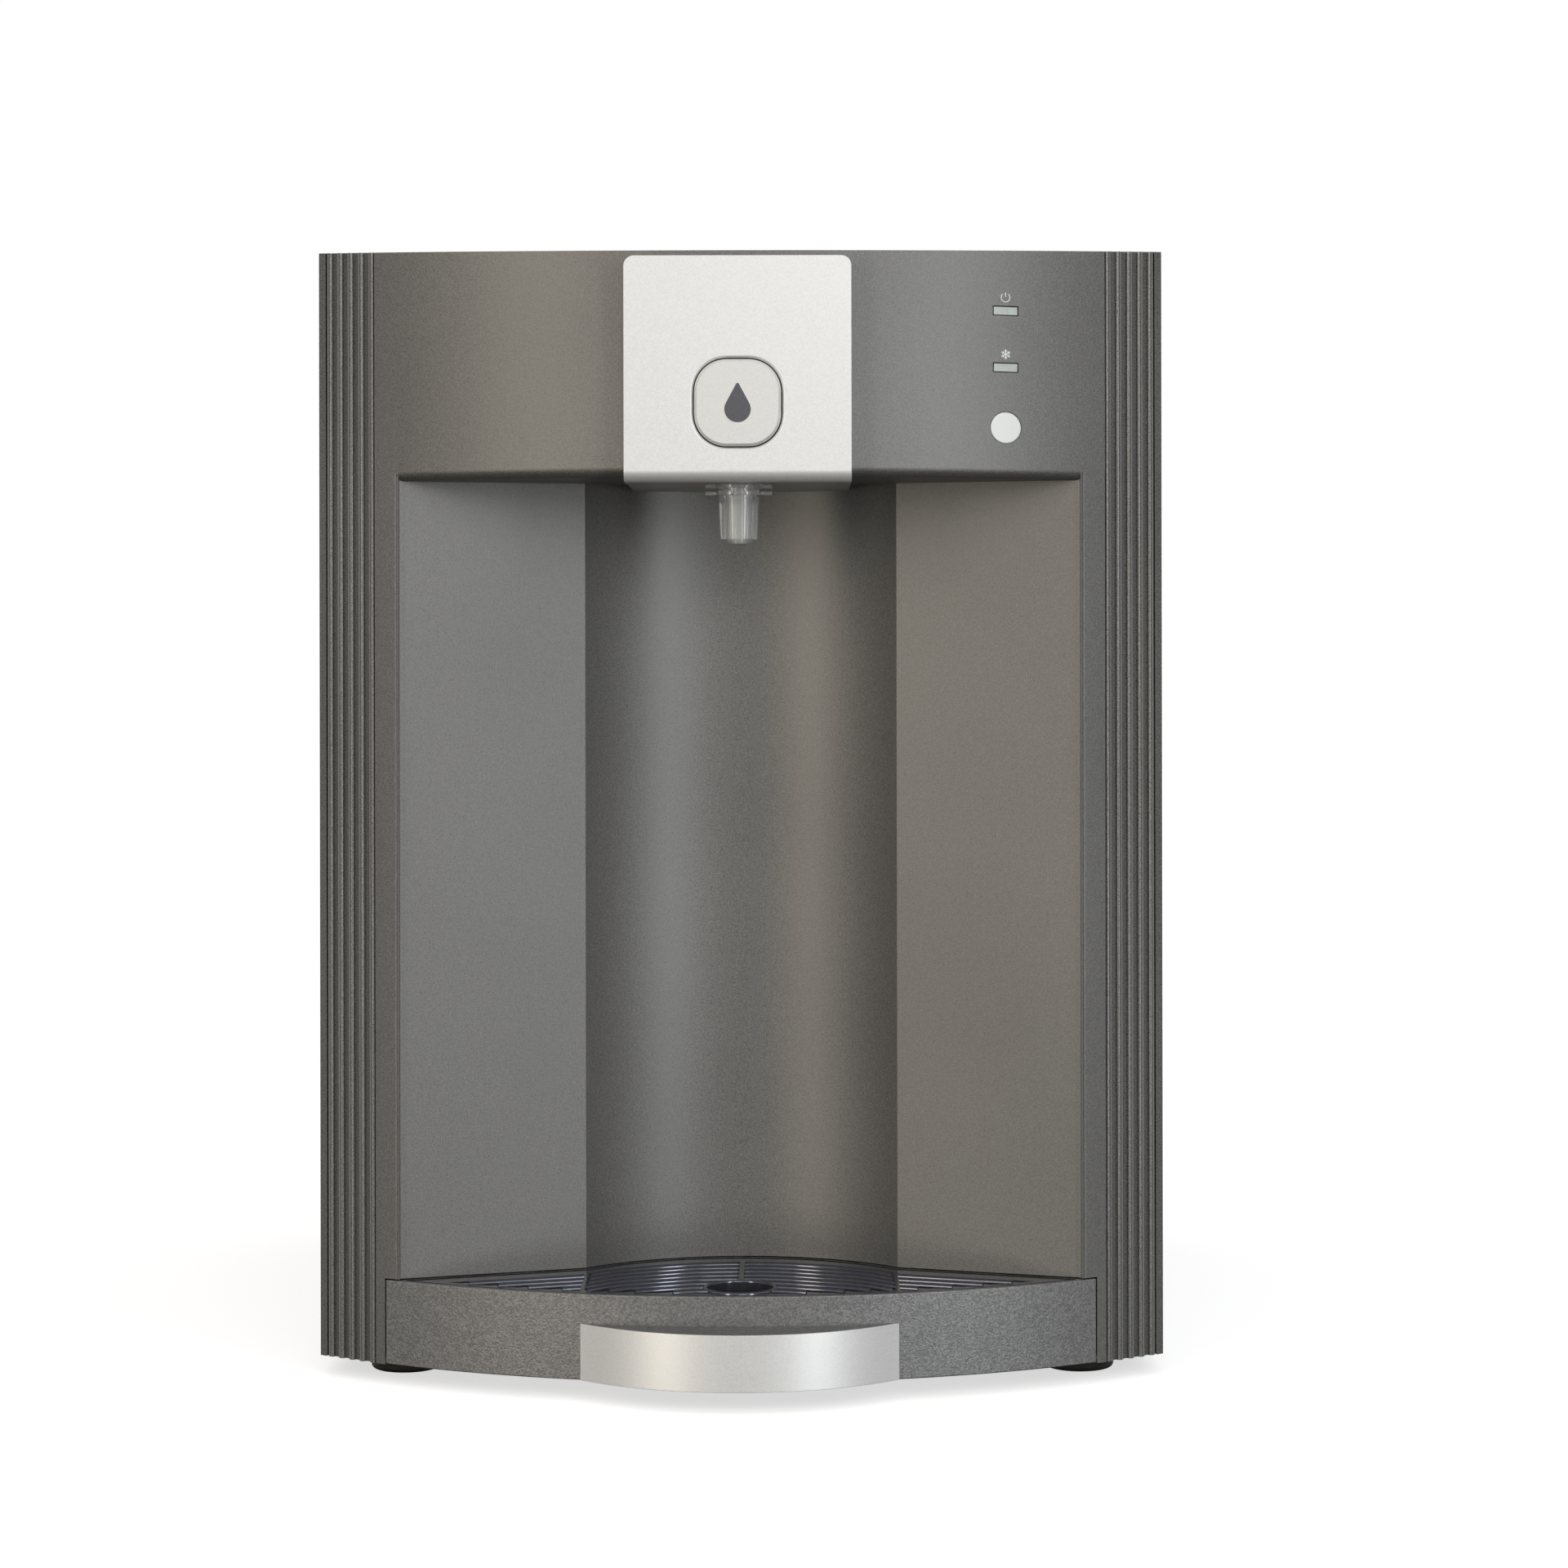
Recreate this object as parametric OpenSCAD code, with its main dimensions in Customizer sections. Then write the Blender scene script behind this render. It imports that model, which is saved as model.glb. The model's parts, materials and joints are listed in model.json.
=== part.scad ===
// Countertop water cooler: bowed cabinet with a dispensing alcove, a push-button head,
// a pull-out drip tray and the cooling system behind them.
// Lengths are in millimetres. X is the width, -Y faces the user and Z is up from the counter.

/* [Cabinet] */
// Overall width across the side panels
body_w = 340; // [310:1:400]
// Height of the cabinet above its feet
body_h = 444.6; // [420:0.1:520]
// Depth of the cabinet behind the corners of the bowed front
body_d = 345; // [325:1:420]
// How far the middle of the front bows out past its corners
bow_rise = 57; // [48:0.5:64]
// Fall of the top edge from the corners to the middle of the front
top_fall = 5.3; // [0:0.1:8]
// Wall of the moulded panels
wall = 3; // [2:0.1:4]
// Thickness of the sheet steel
sheet = 1.2; // [0.8:0.1:2]
// Gap where two panels meet
seam = 0.25; // [0.1:0.05:0.5]
// Recess of the rear panel inside the cabinet's back edges
rear_inset = 18; // [14:1:30]
// Thickness of the rear panel
rear_t = 1.5; // [1:0.1:3]
// Thickness of the top cover
cover_t = 2.5; // [2:0.1:4]
// Height of the feet
foot_h = 8; // [5:0.5:14]
// Diameter of the feet
foot_d = 28.6; // [20:0.2:36]
// Distance of each foot's centre from the cabinet's side
foot_in = 33; // [28:0.5:45]

/* [Ribbed columns] */
// Ribs on each front corner
rib_count = 5; // [3:1:6]
// Width of one rib, seen from the front
rib_w = 2.4; // [1.8:0.1:3.2]
// Spacing of the ribs, seen from the front
rib_pitch = 4.55; // [4:0.05:5]
// Height of the ribs
rib_h = 1.5; // [0.8:0.1:1.8]
// Radius of the ribs' shoulders
rib_round = 0.8; // [0.3:0.05:0.8]
// Width of the smooth corner outside the ribs
corner_w = 3; // [2:0.1:5]
// Width of the dark groove between the last rib and the front panel
column_gap = 0.7; // [0.4:0.1:1.5]

/* [Alcove] */
// Height of the fascia band from the alcove's ceiling to the top
fascia_h = 93; // [88:0.5:110]
// Width of the plain strip beside the alcove's opening
strip_w = 10.2; // [8:0.1:20]
// Width between the alcove's inner edges
alcove_in_w = 126; // [110:1:150]
// Place of the outer ends of the splayed walls in front of the corners
splay_front = 20; // [16:0.5:21]
// Place of the alcove's inner edges behind the corners
alcove_in_d = 4; // [0:0.5:10]
// Depth of the alcove's middle behind the corners
alcove_d = 31; // [24:0.5:40]
// Radius of the lip along the fascia's lower edge
lip_r = 4; // [2:0.1:6]
// Radius of the opening's upright edges
edge_r = 1.4; // [0.5:0.1:1.5]

/* [Drip tray] */
// Width of the strip beside the drip tray's front
tray_strip = 3.9; // [2:0.1:6]
// Height of the drip tray's front
tray_h = 33.5; // [28:0.1:45]
// Wall of the drip tray
tray_wall = 2.6; // [2:0.1:4]
// Running gap round the drip tray
tray_gap = 0.4; // [0.3:0.1:1]
// Width of the ledge that the grid lies on
ledge_w = 3; // [2:0.1:5]
// Thickness of the drip grid
grid_t = 3; // [2:0.1:5]
// Spacing of the grid's bars
bar_pitch = 8.4; // [7:0.1:12]
// Width of the grid's bars
bar_w = 4.4; // [3:0.1:6]
// Width of the grid's rim along the front
grid_rim = 3.4; // [2:0.1:6]
// Width of the grid's rim along the alcove's walls
grid_back = 10; // [3:0.1:14]
// Width of the grid's cross bars
rung_w = 2; // [1.5:0.1:4]
// Diameter of the round hole under the nozzle
drain_d = 26; // [20:0.5:30]
// Width of the ring round that hole
drain_ring = 1.8; // [1:0.1:4]
// Width of the tray's handle
handle_w = 124.8; // [90:0.2:150]
// Height of the tray's handle
handle_h = 21.9; // [15:0.1:26]
// Reach of the handle in front of the tray
handle_out = 17.5; // [12:0.5:25]
// Thickness of the handle's front plate
plate_t = 1; // [0.6:0.1:2]

/* [Dispense head] */
// Width of the head
head_w = 88; // [80:1:110]
// Drop of the head's top below the cabinet's top
head_drop = 7.9; // [6:0.1:15]
// Drop of the head's underside below the alcove's ceiling
head_low = 2.3; // [1.5:0.1:6]
// How far the head stands out in front of the bow
head_proud = 6; // [5:0.5:10]
// Wall of the head cover
head_t = 1.8; // [1.2:0.1:2.5]
// Radius of the head cover's top corners
head_corner = 4; // [2:0.5:8]
// Radius of the bend along the head cover's bottom
head_bend = 4.5; // [3:0.1:5]
// Width of the button's opening
button_w = 34.6; // [30:0.1:42]
// Corner radius of the button's opening
button_r = 13; // [8:0.5:15]
// Width of the bevel round the button's face
bevel = 1; // [0.6:0.1:4]
// Height of the button's middle above the head's underside
button_up = 30.5; // [28:0.1:40]
// Running gap round the button
button_gap = 0.5; // [0.3:0.05:0.6]
// Travel of the button
button_travel = 3; // [2:0.1:3.2]
// Diameter of the button's plunger
plunger_d = 8; // [6:0.5:10]

/* [Nozzle] */
// Distance of the nozzle's axis behind the front of the bow
spout_back = 18.5; // [17:0.5:26]
// Diameter of the nozzle's upper end
nozzle_d = 16; // [13:0.1:18]
// Diameter of the nozzle's lower end
nozzle_end_d = 14.4; // [11:0.1:17]
// Length of the nozzle below its collar
nozzle_l = 19; // [15:0.5:30]
// Bore of the nozzle
nozzle_bore = 7; // [5:0.1:8]
// Height of the nozzle's two collars with the slot between them
collar_h = 4.2; // [3:0.1:6]
// Span of the nozzle's ears
ear_span = 26; // [22:0.5:32]
// Diameter of the nozzle's stem
stem_d = 12; // [11:0.1:13]
// Running clearance of the stem and the plunger
run_gap = 0.05; // [0.02:0.01:0.1]

/* [Indicators] */
// Distance of the indicators from the cabinet's middle
ind_x = 105; // [95:1:112]
// Width of an indicator lens
lens_w = 9.6; // [6:0.1:14]
// Height of an indicator lens
lens_h = 3.2; // [2:0.1:5]
// Drop of the power lens below the cabinet's top
power_drop = 27.1; // [20:0.1:32]
// Drop of the chilled lens below the cabinet's top
chill_drop = 49.4; // [42:0.1:56]
// Drop of the round button below the cabinet's top
mode_drop = 73.1; // [68:0.1:76]
// Diameter of the round button
mode_d = 12.1; // [9:0.1:15]
// Travel of the round button
mode_travel = 1.2; // [0.6:0.1:1.4]
// Gap round the lenses and the round button
lens_gap = 0.35; // [0.3:0.05:0.6]

/* [Cooling system] */
// Height of the tank stand above the base pan
stand_h = 186; // [170:1:200]
// Width of the tank stand
stand_w = 284; // [270:1:296]
// Depth of the tank stand
stand_d = 200; // [180:1:210]
// Width of the stand's square legs
leg_w = 15; // [10:1:20]
// Width and depth of the insulation block
foam_w = 176; // [164:1:190]
// Radius of the cold tank
tank_r = 62; // [50:1:66]
// Wall of the cold tank
tank_t = 1.2; // [0.8:0.1:2]
// Thickness of the evaporator jacket
jacket_t = 3; // [2:0.5:4]
// Radius of the compressor's shell
comp_r = 50; // [42:1:52]
// Height of the compressor's shell
comp_h = 140; // [120:1:146]
// Width of the condenser's fins and of the fan
fan_w = 120; // [100:1:124]
// Depth of the condenser
cond_d = 30; // [22:1:36]
// Number of condenser fins
fin_count = 18; // [10:1:24]
// Depth of the fan's frame
fan_d = 34; // [30:1:38]
// Radius of the water tubes
tube_r = 3.2; // [2.5:0.1:4]
// Radius of the refrigerant tubes
pipe_r = 3; // [2:0.1:4]

/* [Rear fittings] */
// Bore of the water inlet for quarter-inch tube
inlet_bore = 6.6; // [6:0.1:8]
// Depth of the water inlet's bore
inlet_depth = 16; // [12:0.5:18]
// Distance of the water inlet from the cabinet's side
inlet_in = 50; // [40:1:60]
// Height of the water inlet above the counter
inlet_z = 330; // [300:1:360]
// Distance of the mains inlet from the cabinet's middle
mains_x = 60; // [50:1:75]
// Height of the mains inlet and the switch above the counter
mains_z = 62; // [50:1:80]
// Distance of the rocker switch from the cabinet's middle
rocker_x = 106; // [100:1:115]

/* [Hidden] */
$fn = 96;
// A length that reaches past any cut
far = 600;
tiny = 0.01;
// A length that a cut takes off again
spare = 1;
half_w = body_w / 2;
z0 = foot_h;
z1 = foot_h + body_h;

// The bow of the front is an arc about an upright axis
bow_r = (half_w * half_w + bow_rise * bow_rise) / (2 * bow_rise);
bow_cy = bow_r - bow_rise;
function bow_y(x, r = bow_r) = bow_cy - sqrt(r * r - x * x);
function top_z(y) = z1 + min(y, 0) * top_fall / bow_rise;

// The origin is under the middle of the whole cooler
mid_y = (body_d - bow_rise - handle_out) / 2;

// Panels
column_w = corner_w + (rib_count - 1) * rib_pitch + rib_w;
panel_half = half_w - column_w - column_gap;
column_in = panel_half + seam;
inner_half = half_w - wall;
rear_y = body_d - rear_inset - rear_t;
roof_t = cover_t;
rail_w = 9;
rail_t = 2.5;
flange_h = 14;
flange_w = 13;
flange_t = 2;
screw_r = 2;
screw_gap = 0.25;
head_screw_r = 3.6;
head_screw_h = 2.2;
foot_screw_in = 6;
rear_screw_in = 8;
rail_z = z1 - cover_t - rail_t;

// Alcove
ceiling_z = z1 - fascia_h;
open_half = panel_half - strip_w;
in_half = alcove_in_w / 2;
splay = (alcove_in_d + splay_front) / (open_half - in_half);
back_rise = alcove_d - alcove_in_d;
back_r = (in_half * in_half + back_rise * back_rise) / (2 * back_rise);
back_cy = alcove_d - back_r;
function splay_y(x, d) = -splay_front + (open_half - x) * splay + d * sqrt(1 + splay * splay);

// Drip tray
lift_gap = 0.3;
apron_lift = 0.2;
wall_gap = 0.6;
tray_half = panel_half - tray_strip - tray_gap;
apron_z = z0 + apron_lift;
tray_z = z0 + sheet + lift_gap;
tray_top = apron_z + tray_h;
wall_foot = tray_top + wall_gap;
tray_floor_t = 2;
tray_lap = 4;
grid_gap = 0.6;
rim_gap = 0.4;
grid_in = tray_wall + grid_gap;
base_setback = 8;
handle_half = handle_w / 2;
handle_joint = 0.15;
handle_rise = bow_rise + handle_out + bow_y(handle_half);
handle_r = (handle_half * handle_half + handle_rise * handle_rise) / (2 * handle_rise);
handle_cy = handle_r - bow_rise - handle_out;

// Dispense head
head_half = head_w / 2;
head_z0 = ceiling_z - head_low;
head_z1 = z1 - head_drop;
head_y = -bow_rise - head_proud;
head_fit = 0.2;
return_l = 0.7;
return_d = head_bend + return_l;
box_in = 8;
box_half = head_half - box_in;
box_t = 2;
box_drop = 12;
box_top = head_z1 - box_drop;
box_set = 8.2;
box_front = head_y + head_t + box_set;
box_short = 24;
floor_lap = 0.5;
box_over = 2;
box_back = alcove_d - box_short;
button_z = head_z0 + button_up;
face_out = 0.5;
button_face = head_y - face_out;
lip_t = 2;
lip_y = head_y + head_t + button_gap;
button_back = lip_y + lip_t;
plunger_out = 5;
plunger_end = box_front + box_t + plunger_out;
switch_play = 0.5;
switch_y = plunger_end + button_travel + switch_play;
switch_d = 10;
switch_w = 20;
switch_h = 6.4;
bridge_h = 14.8;
key_out = 1.2;
key_w = 3;
key_h = 2;
switch_hole_x = 5;
switch_hole_r = 1.3;
spout_y = -bow_rise + spout_back;
boss_h = 6.4;
boss_w = 3;
valve_z = ceiling_z + boss_h;
valve_h = 13;
valve_w = 26;
valve_fore = 9;
valve_aft = 34;
valve_front = spout_y - valve_fore;
valve_back = spout_y + valve_aft;
coil_r = 10;
coil_h = 26;
coil_edge = 1;
coil_floor = 4;
coil_bore_r = 3;
coil_y = valve_back - coil_r - coil_edge;
barb_l = 8;
barb_t = 0.6;
barb_z = valve_z + valve_h / 2;

// Nozzle
stem_h = 7;
collar_t = collar_h * 0.32;
collar_w = 2;
collar_r = nozzle_d / 2 + collar_w;
nozzle_seat = 0.1;
collar_z = head_z0 - nozzle_seat;
tip_cut = 1.7;
tip_z = collar_z - collar_h - nozzle_l;
seal_r = 0.7;
seal_up = 4;
seal_room = 0.4;
seal_fit = 0.02;
seal_z = head_z0 + seal_up;

// Indicators
board_w = 24;
board_t = 1.6;
lens_set = 0.4;
mode_proud = 0.4;
mode_lip = 1.1;
mode_lip_t = 1.4;
mode_play = 0.3;
tact_play = 0.4;
mode_lip_y = bow_y(ind_x + mode_d / 2 + mode_lip, bow_r - wall) + mode_play;
tact_h = 2;
board_y = mode_lip_y + mode_lip_t + mode_travel + tact_play + tact_h;
boss_r = 2.5;
power_z = z1 - power_drop;
chill_z = z1 - chill_drop;
mode_z = z1 - mode_drop;
boss_gap = 1;
board_over = 13;
board_z0 = mode_z - mode_d / 2 - mode_lip - 2 * boss_r - boss_gap;
board_z1 = power_z + board_over;
tact_w = 6;
plug_w = 18;
plug_h = 10;
plug_d = 6;

// Cooling system
floor_z = z0 + sheet;
stand_z = floor_z + stand_h;
stand_fore = 20;
stand_y = (alcove_d + wall + rear_y) / 2 - stand_fore;
foam_end = 20;
foam_drop = 27.6;
foam_top = z1 - foam_drop;
tank_z0 = stand_z + foam_end;
tank_dome = 18;
tank_neck = 0.7;
tank_top = foam_top - foam_end;
tank_gap = 0.3;
stub_r = 5;
stub_in = 30;
stub_root = 2;
stub_up = 6;
stub_top = foam_top + stub_up;
hole_gap = 0.5;
jacket_r = tank_r + tank_gap + jacket_t;
foam_hole = jacket_r + hole_gap;
jacket_end = 20;
jacket_z0 = tank_z0 + jacket_end;
jacket_z1 = tank_top - tank_dome - jacket_end;
bend_r = 10;
tube_t = 1;
tube_up = 0.5;
tube_z = stub_top + bend_r + tube_up;
comp_x = jacket_r + tank_gap + pipe_r;
suction_in = 25;
suction_top = jacket_z0 + suction_in;
foam_split = 0.1;
pipe_room = 3;
channel_gap = 1;
comp_y = stand_y;
comp_plate = 2;
comp_foot = 14;
comp_z = floor_z + comp_foot;
comp_dome = 34;
stub_out = 8;
stub_t = 1;
stub_deep = 20;
comp_stub_top = comp_z + comp_plate + comp_h + stub_out;
bolt_x = comp_r * 0.72;
bolt_out = 10;
bolt_y = comp_r + bolt_out;
grommet_r = 8;
plate_edge = 12;
bolt_r = 3;
nut_h = 4;
nut_side = 5.8;
discharge_y = comp_y + comp_r * 0.55;
cond_side = 2;
cond_back = 20;
cond_up = 20;
cond_x1 = -cond_side;
cond_x0 = cond_x1 - fan_w;
cond_y1 = rear_y - cond_back;
cond_y0 = cond_y1 - cond_d;
cond_z0 = floor_z + cond_up;
cond_z1 = cond_z0 + fan_w;
end_t = 1.5;
fin_t = 0.8;
row_count = 6;
row_pitch = fan_w / row_count;
cond_y = (cond_y0 + cond_y1) / 2;
pipe_out = 14;
cond_out = cond_x1 + pipe_out;
return_out = 4;
return_t = 0.6;
function row_z(i) = cond_z0 + (i + 0.5) * row_pitch;
top_row_z = row_z(row_count - 1);
low_row_z = row_z(0);
fan_x = (cond_x0 + cond_x1) / 2;
fan_z = (cond_z0 + cond_z1) / 2;
fan_y0 = cond_y0 - fan_d;
fan_edge = 3;
fan_r = fan_w / 2 - fan_edge;
hub_r = 22;
strut_t = 3;
strut_w = 6;
motor_r = 17;
motor_short = 16;
motor_l = fan_d - motor_short;
shaft_r = 2;
shaft_short = 3;
blade_count = 7;
blade_t = 1.6;
blade_tilt = 38;
blade_w = 22;
blade_gap = 2;
drier_side = 12;
drier_back = 4;
drier_up = 24;
drier_l = 60;
drier_x = cond_out + drier_side;
drier_y = cond_y1 + drier_back;
drier_r = 9;
drier_z0 = low_row_z + drier_up;
drier_z1 = drier_z0 + drier_l;
cap_r = 1.4;
cap_up = 15;
cap_z = jacket_z0 + cap_up;
line_y = cond_y;
line_up = 4;
line_z = comp_stub_top + bend_r + line_up;
drier_bend = 6;
drier_cone = 8;

// Rear fittings
inlet_x = half_w - inlet_in;
inlet_r = 8;
nut_r = 12;
inlet_out = 12;
inlet_in_l = 14;
flange_l = 4;
nut_l = 6;
feed_in = 52;
feed_y = rear_y - feed_in;
riser_in = 12;
riser_y = alcove_d + riser_in;
mains_w = 27.6;
mains_h = 20;
mains_d = 20;
bezel_t = 2.5;
rocker_w = 13;
rocker_h = 18;
rocker_gap = 0.5;
rocker_tilt = 8;
pivot_r = 1.2;
pivot_out = 0.5;
pivot_y = rear_y + rear_t + pivot_out;

// Colours
graphite = [0.42, 0.41, 0.39];
silver = [0.86, 0.86, 0.84];
black = [0.10, 0.10, 0.10];
steel = [0.70, 0.71, 0.72];
copper = [0.72, 0.45, 0.28];
white = [0.93, 0.94, 0.94];
clear = [0.85, 0.88, 0.86, 0.5];
foam = [0.90, 0.90, 0.88];
lens_grey = [0.72, 0.77, 0.75];
green = [0.10, 0.32, 0.18];

// Shared shapes

// Moves the drawing, whose Y = 0 is at the front corners, to the cooler's own origin
module place() translate([0, -mid_y, 0]) children();

// Both sides, left and right
module both() {
    children();
    mirror([1, 0, 0]) children();
}

// Stands an outline of Y and Z up and pulls it along X, from x0 to x1
module along_x(x0, x1) translate([x0, 0, 0]) rotate([90, 0, 90]) linear_extrude(x1 - x0) children();

// Stands an outline of X and Z up and pulls it along Y, from y0 to y1
module along_y(y0, y1) translate([0, y1, 0]) rotate([90, 0, 0]) linear_extrude(y1 - y0) children();

module bar(x0, x1, y0, y1, z0, z1) translate([x0, y0, z0]) cube([x1 - x0, y1 - y0, z1 - z0]);
// Box centred on x and z
module block(x, z, w, h, y0, y1) bar(x - w / 2, x + w / 2, y0, y1, z - h / 2, z + h / 2);
module rod_x(x0, x1, y, z, r) translate([x0, y, z]) rotate([0, 90, 0]) cylinder(h = x1 - x0, r = r);
module rod_y(x, y0, y1, z, r) translate([x, y0, z]) rotate([-90, 0, 0]) cylinder(h = y1 - y0, r = r);
module rod_z(x, y, z0, z1, r) translate([x, y, z0]) cylinder(h = z1 - z0, r = r);
module box2(x0, x1, y0, y1) translate([x0, y0]) square([x1 - x0, y1 - y0]);

// Plan of everything behind the bow, or behind a face that is set back from it
module bow_disc(r) translate([0, bow_cy]) circle(r, $fn = 360);

// Plan of the alcove's space, grown by d: a splayed part out to a half width, and a round back
module splay_plan(d, half) polygon([
    [-half, -far], [-half, splay_y(half, d)], [0, splay_y(0, d)], [half, splay_y(half, d)], [half, -far]
]);
module back_plan(d) translate([0, back_cy]) circle(back_r + d, $fn = 180);
module alcove_plan(d, half) {
    splay_plan(d, half);
    back_plan(d);
}

// Square with rounded corners, about the origin
module round_square(w, h, r) {
    box2(-w / 2 + r, w / 2 - r, -h / 2, h / 2);
    box2(-w / 2, w / 2, -h / 2 + r, h / 2 - r);
    for (x = [-1, 1], y = [-1, 1]) translate([x * (w / 2 - r), y * (h / 2 - r)]) circle(r);
}

// Quarter of a disc that fills the corner of a square at the origin, towards +X +Y
module quarter(r) intersection() {
    circle(r);
    square(r);
}

// Space above the falling top edge of the front
module above_top() along_x(-far, far)
    polygon([[-far, top_z(-far)], [0, z1], [0, z1 + far], [-far, z1 + far]]);

// Tube along points that follow the axes, with quarter bends at its corners
function unit(v) = v / norm(v);
module run(points, r, bend = bend_r) {
    last = len(points) - 1;
    for (i = [0:last - 1]) {
        way = unit(points[i + 1] - points[i]);
        from = points[i] + (i == 0 ? 0 : bend) * way;
        to = points[i + 1] - (i == last - 1 ? 0 : bend) * way;
        straight(from, to, r);
    }
    for (i = [1:1:last - 1])
        elbow(points[i], unit(points[i] - points[i - 1]), unit(points[i + 1] - points[i]), r, bend);
}
module straight(a, b, r) {
    d = b - a;
    translate(a) rotate([0, acos(d.z / norm(d)), atan2(d.y, d.x)]) cylinder(h = norm(d), r = r);
}
module elbow(p, d1, d2, r, bend) {
    c = p - bend * d1 + bend * d2;
    n = cross(d1, d2);
    multmatrix([
        [-d2.x, d1.x, n.x, c.x], [-d2.y, d1.y, n.y, c.y], [-d2.z, d1.z, n.z, c.z], [0, 0, 0, 1]
    ]) rotate_extrude(angle = 90) translate([bend, 0]) circle(r);
}

// Casing

// Slab with a sloping underside, behind a bow of radius r, which the falling top edge trims
module roof_slab(half, r) intersection() {
    along_x(-half, half) polygon([
        [-bow_rise, top_z(-bow_rise) - roof_t], [0, z1 - roof_t], [0, z1 + roof_t], [-bow_rise, z1 + roof_t]
    ]);
    linear_extrude(far) bow_disc(r);
}

foot_x = half_w - foot_in;
foot_front_in = 1.7;
foot_rear_in = 14;
foot_ys = [foot_d / 2 + foot_front_in, rear_y - foot_d / 2 - foot_rear_in];

module base_pan() color(steel) place() difference() {
    union() {
        translate([0, 0, z0]) linear_extrude(sheet) intersection() {
            bow_disc(bow_r - base_setback);
            box2(-inner_half, inner_half, -bow_rise, rear_y);
        }
        both() bar(inner_half - sheet, inner_half, alcove_d, rear_y, z0, z0 + flange_h);
        bar(-inner_half, inner_half, rear_y - sheet, rear_y, z0, z0 + flange_h);
    }
    for (x = [-foot_x, foot_x], y = foot_ys) rod_z(x, y, z0 - 1, floor_z + 1, screw_r + screw_gap);
    for (x = bolt_xs(), y = bolt_ys()) rod_z(x, y, z0 - 1, floor_z + 1, bolt_r + screw_gap);
}

foot_round = 2;
foot_recess_r = 6;
foot_web = 2.5;
module foot(x, y) color(black) place() translate([x, y, 0]) difference() {
    rotate_extrude() {
        box2(0, foot_d / 2, foot_round, foot_h);
        box2(0, foot_d / 2 - foot_round, 0, foot_round);
        translate([foot_d / 2 - foot_round, foot_round]) mirror([0, 1]) quarter(foot_round);
    }
    translate([0, 0, -1]) cylinder(h = foot_h - foot_web + 1, r = foot_recess_r);
    cylinder(h = far, r = screw_r + screw_gap);
}
module foot_screws() color(steel) place() for (x = [-foot_x, foot_x], y = foot_ys) {
    rod_z(x, y, foot_h - foot_web, foot_h + foot_screw_in, screw_r);
    rod_z(x, y, foot_h - foot_web - head_screw_h, foot_h - foot_web, head_screw_r);
}

// Plan of the right corner column: a bowed wall with upright round-shouldered ribs
module ring_plan(r_out, r_in, x0, x1) intersection() {
    difference() {
        bow_disc(r_out);
        bow_disc(r_in);
    }
    box2(x0, x1, -bow_rise, column_back);
}
column_back = 2 * wall;
cap_t = 2 * roof_t;
groove_r = bow_r - rib_h;
module column_plan() {
    ring_plan(groove_r, groove_r - wall, column_in - spare, half_w);
    ring_plan(bow_r, groove_r - wall / 2, half_w - corner_w, half_w);
    for (i = [0:rib_count - 1]) rib_plan(half_w - corner_w - rib_w / 2 - i * rib_pitch);
}
module rib_plan(x) {
    turn = asin(x / bow_r);
    half = rib_w / cos(turn) / 2;
    root = rib_h + wall / 2;
    shoulder = [for (a = [0:18:90]) [half - rib_round * (1 - sin(a)), rib_round * (1 - cos(a))]];
    last = len(shoulder) - 1;
    translate([0, bow_cy]) rotate(turn) translate([0, -bow_r]) polygon([
        each shoulder, [half, root], [-half, root], for (i = [last:-1:0]) [-shoulder[i].x, shoulder[i].y]
    ]);
}

rail_end = 1;
module side_rail(y0, y1) bar(inner_half - rail_w, inner_half, y0, y1, rail_z, z1 - cover_t);
module side_panel() difference() {
    union() {
        translate([0, 0, z0]) linear_extrude(z1 - z0) {
            column_plan();
            box2(inner_half, half_w, tiny, body_d);
        }
        // Cap that closes the column's top
        translate([0, 0, z1 - cap_t]) linear_extrude(cap_t) intersection() {
            bow_disc(groove_r - wall / 2);
            box2(column_in - spare, inner_half + wall / 2, -bow_rise, 0);
        }
        // Rails that carry the top cover, before and behind the rear panel
        side_rail(alcove_d, rear_y);
        side_rail(rear_y + rear_t, body_d - flange_t - rail_end);
        // Flange that the rear panel screws to
        bar(inner_half - flange_w, inner_half, rear_y - flange_t, rear_y, z0 + flange_h, rail_z);
    }
    above_top();
    // Seam beside the front panel
    bar(0, column_in, -far, far, 0, far);
    for (z = screw_zs) rod_y(screw_x, rear_y - flange_t - 1, rear_y + 1, z, screw_r + screw_gap);
}
module left_side_panel() color(graphite) place() mirror([1, 0, 0]) side_panel();
module right_side_panel() color(graphite) place() side_panel();

// What is cut off the opening's right upright edge, outside a circle that just breaks both faces
edge_over = 0.04;
edge_way = bow_r - edge_r + edge_over;
edge_cx = open_half + edge_r - edge_over;
edge_cy = bow_y(edge_cx, edge_way);
module edge_cut() difference() {
    out = [edge_cx, edge_cy - bow_cy] * (bow_r + spare) / edge_way + [0, bow_cy];
    polygon([
        [open_half - spare, edge_cy], [edge_cx, edge_cy], out, [open_half - spare, out.y]
    ]);
    translate([edge_cx, edge_cy]) circle(edge_r);
}
module opening_walls_plan() difference() {
    intersection() {
        bow_disc(bow_r);
        union() {
            difference() {
                alcove_plan(wall, open_half + wall);
                alcove_plan(0, open_half);
            }
            difference() {
                both() box2(open_half, panel_half, -bow_rise, 0);
                bow_disc(bow_r - wall);
            }
        }
    }
    both() edge_cut();
}
ledge_lap = 8;
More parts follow.
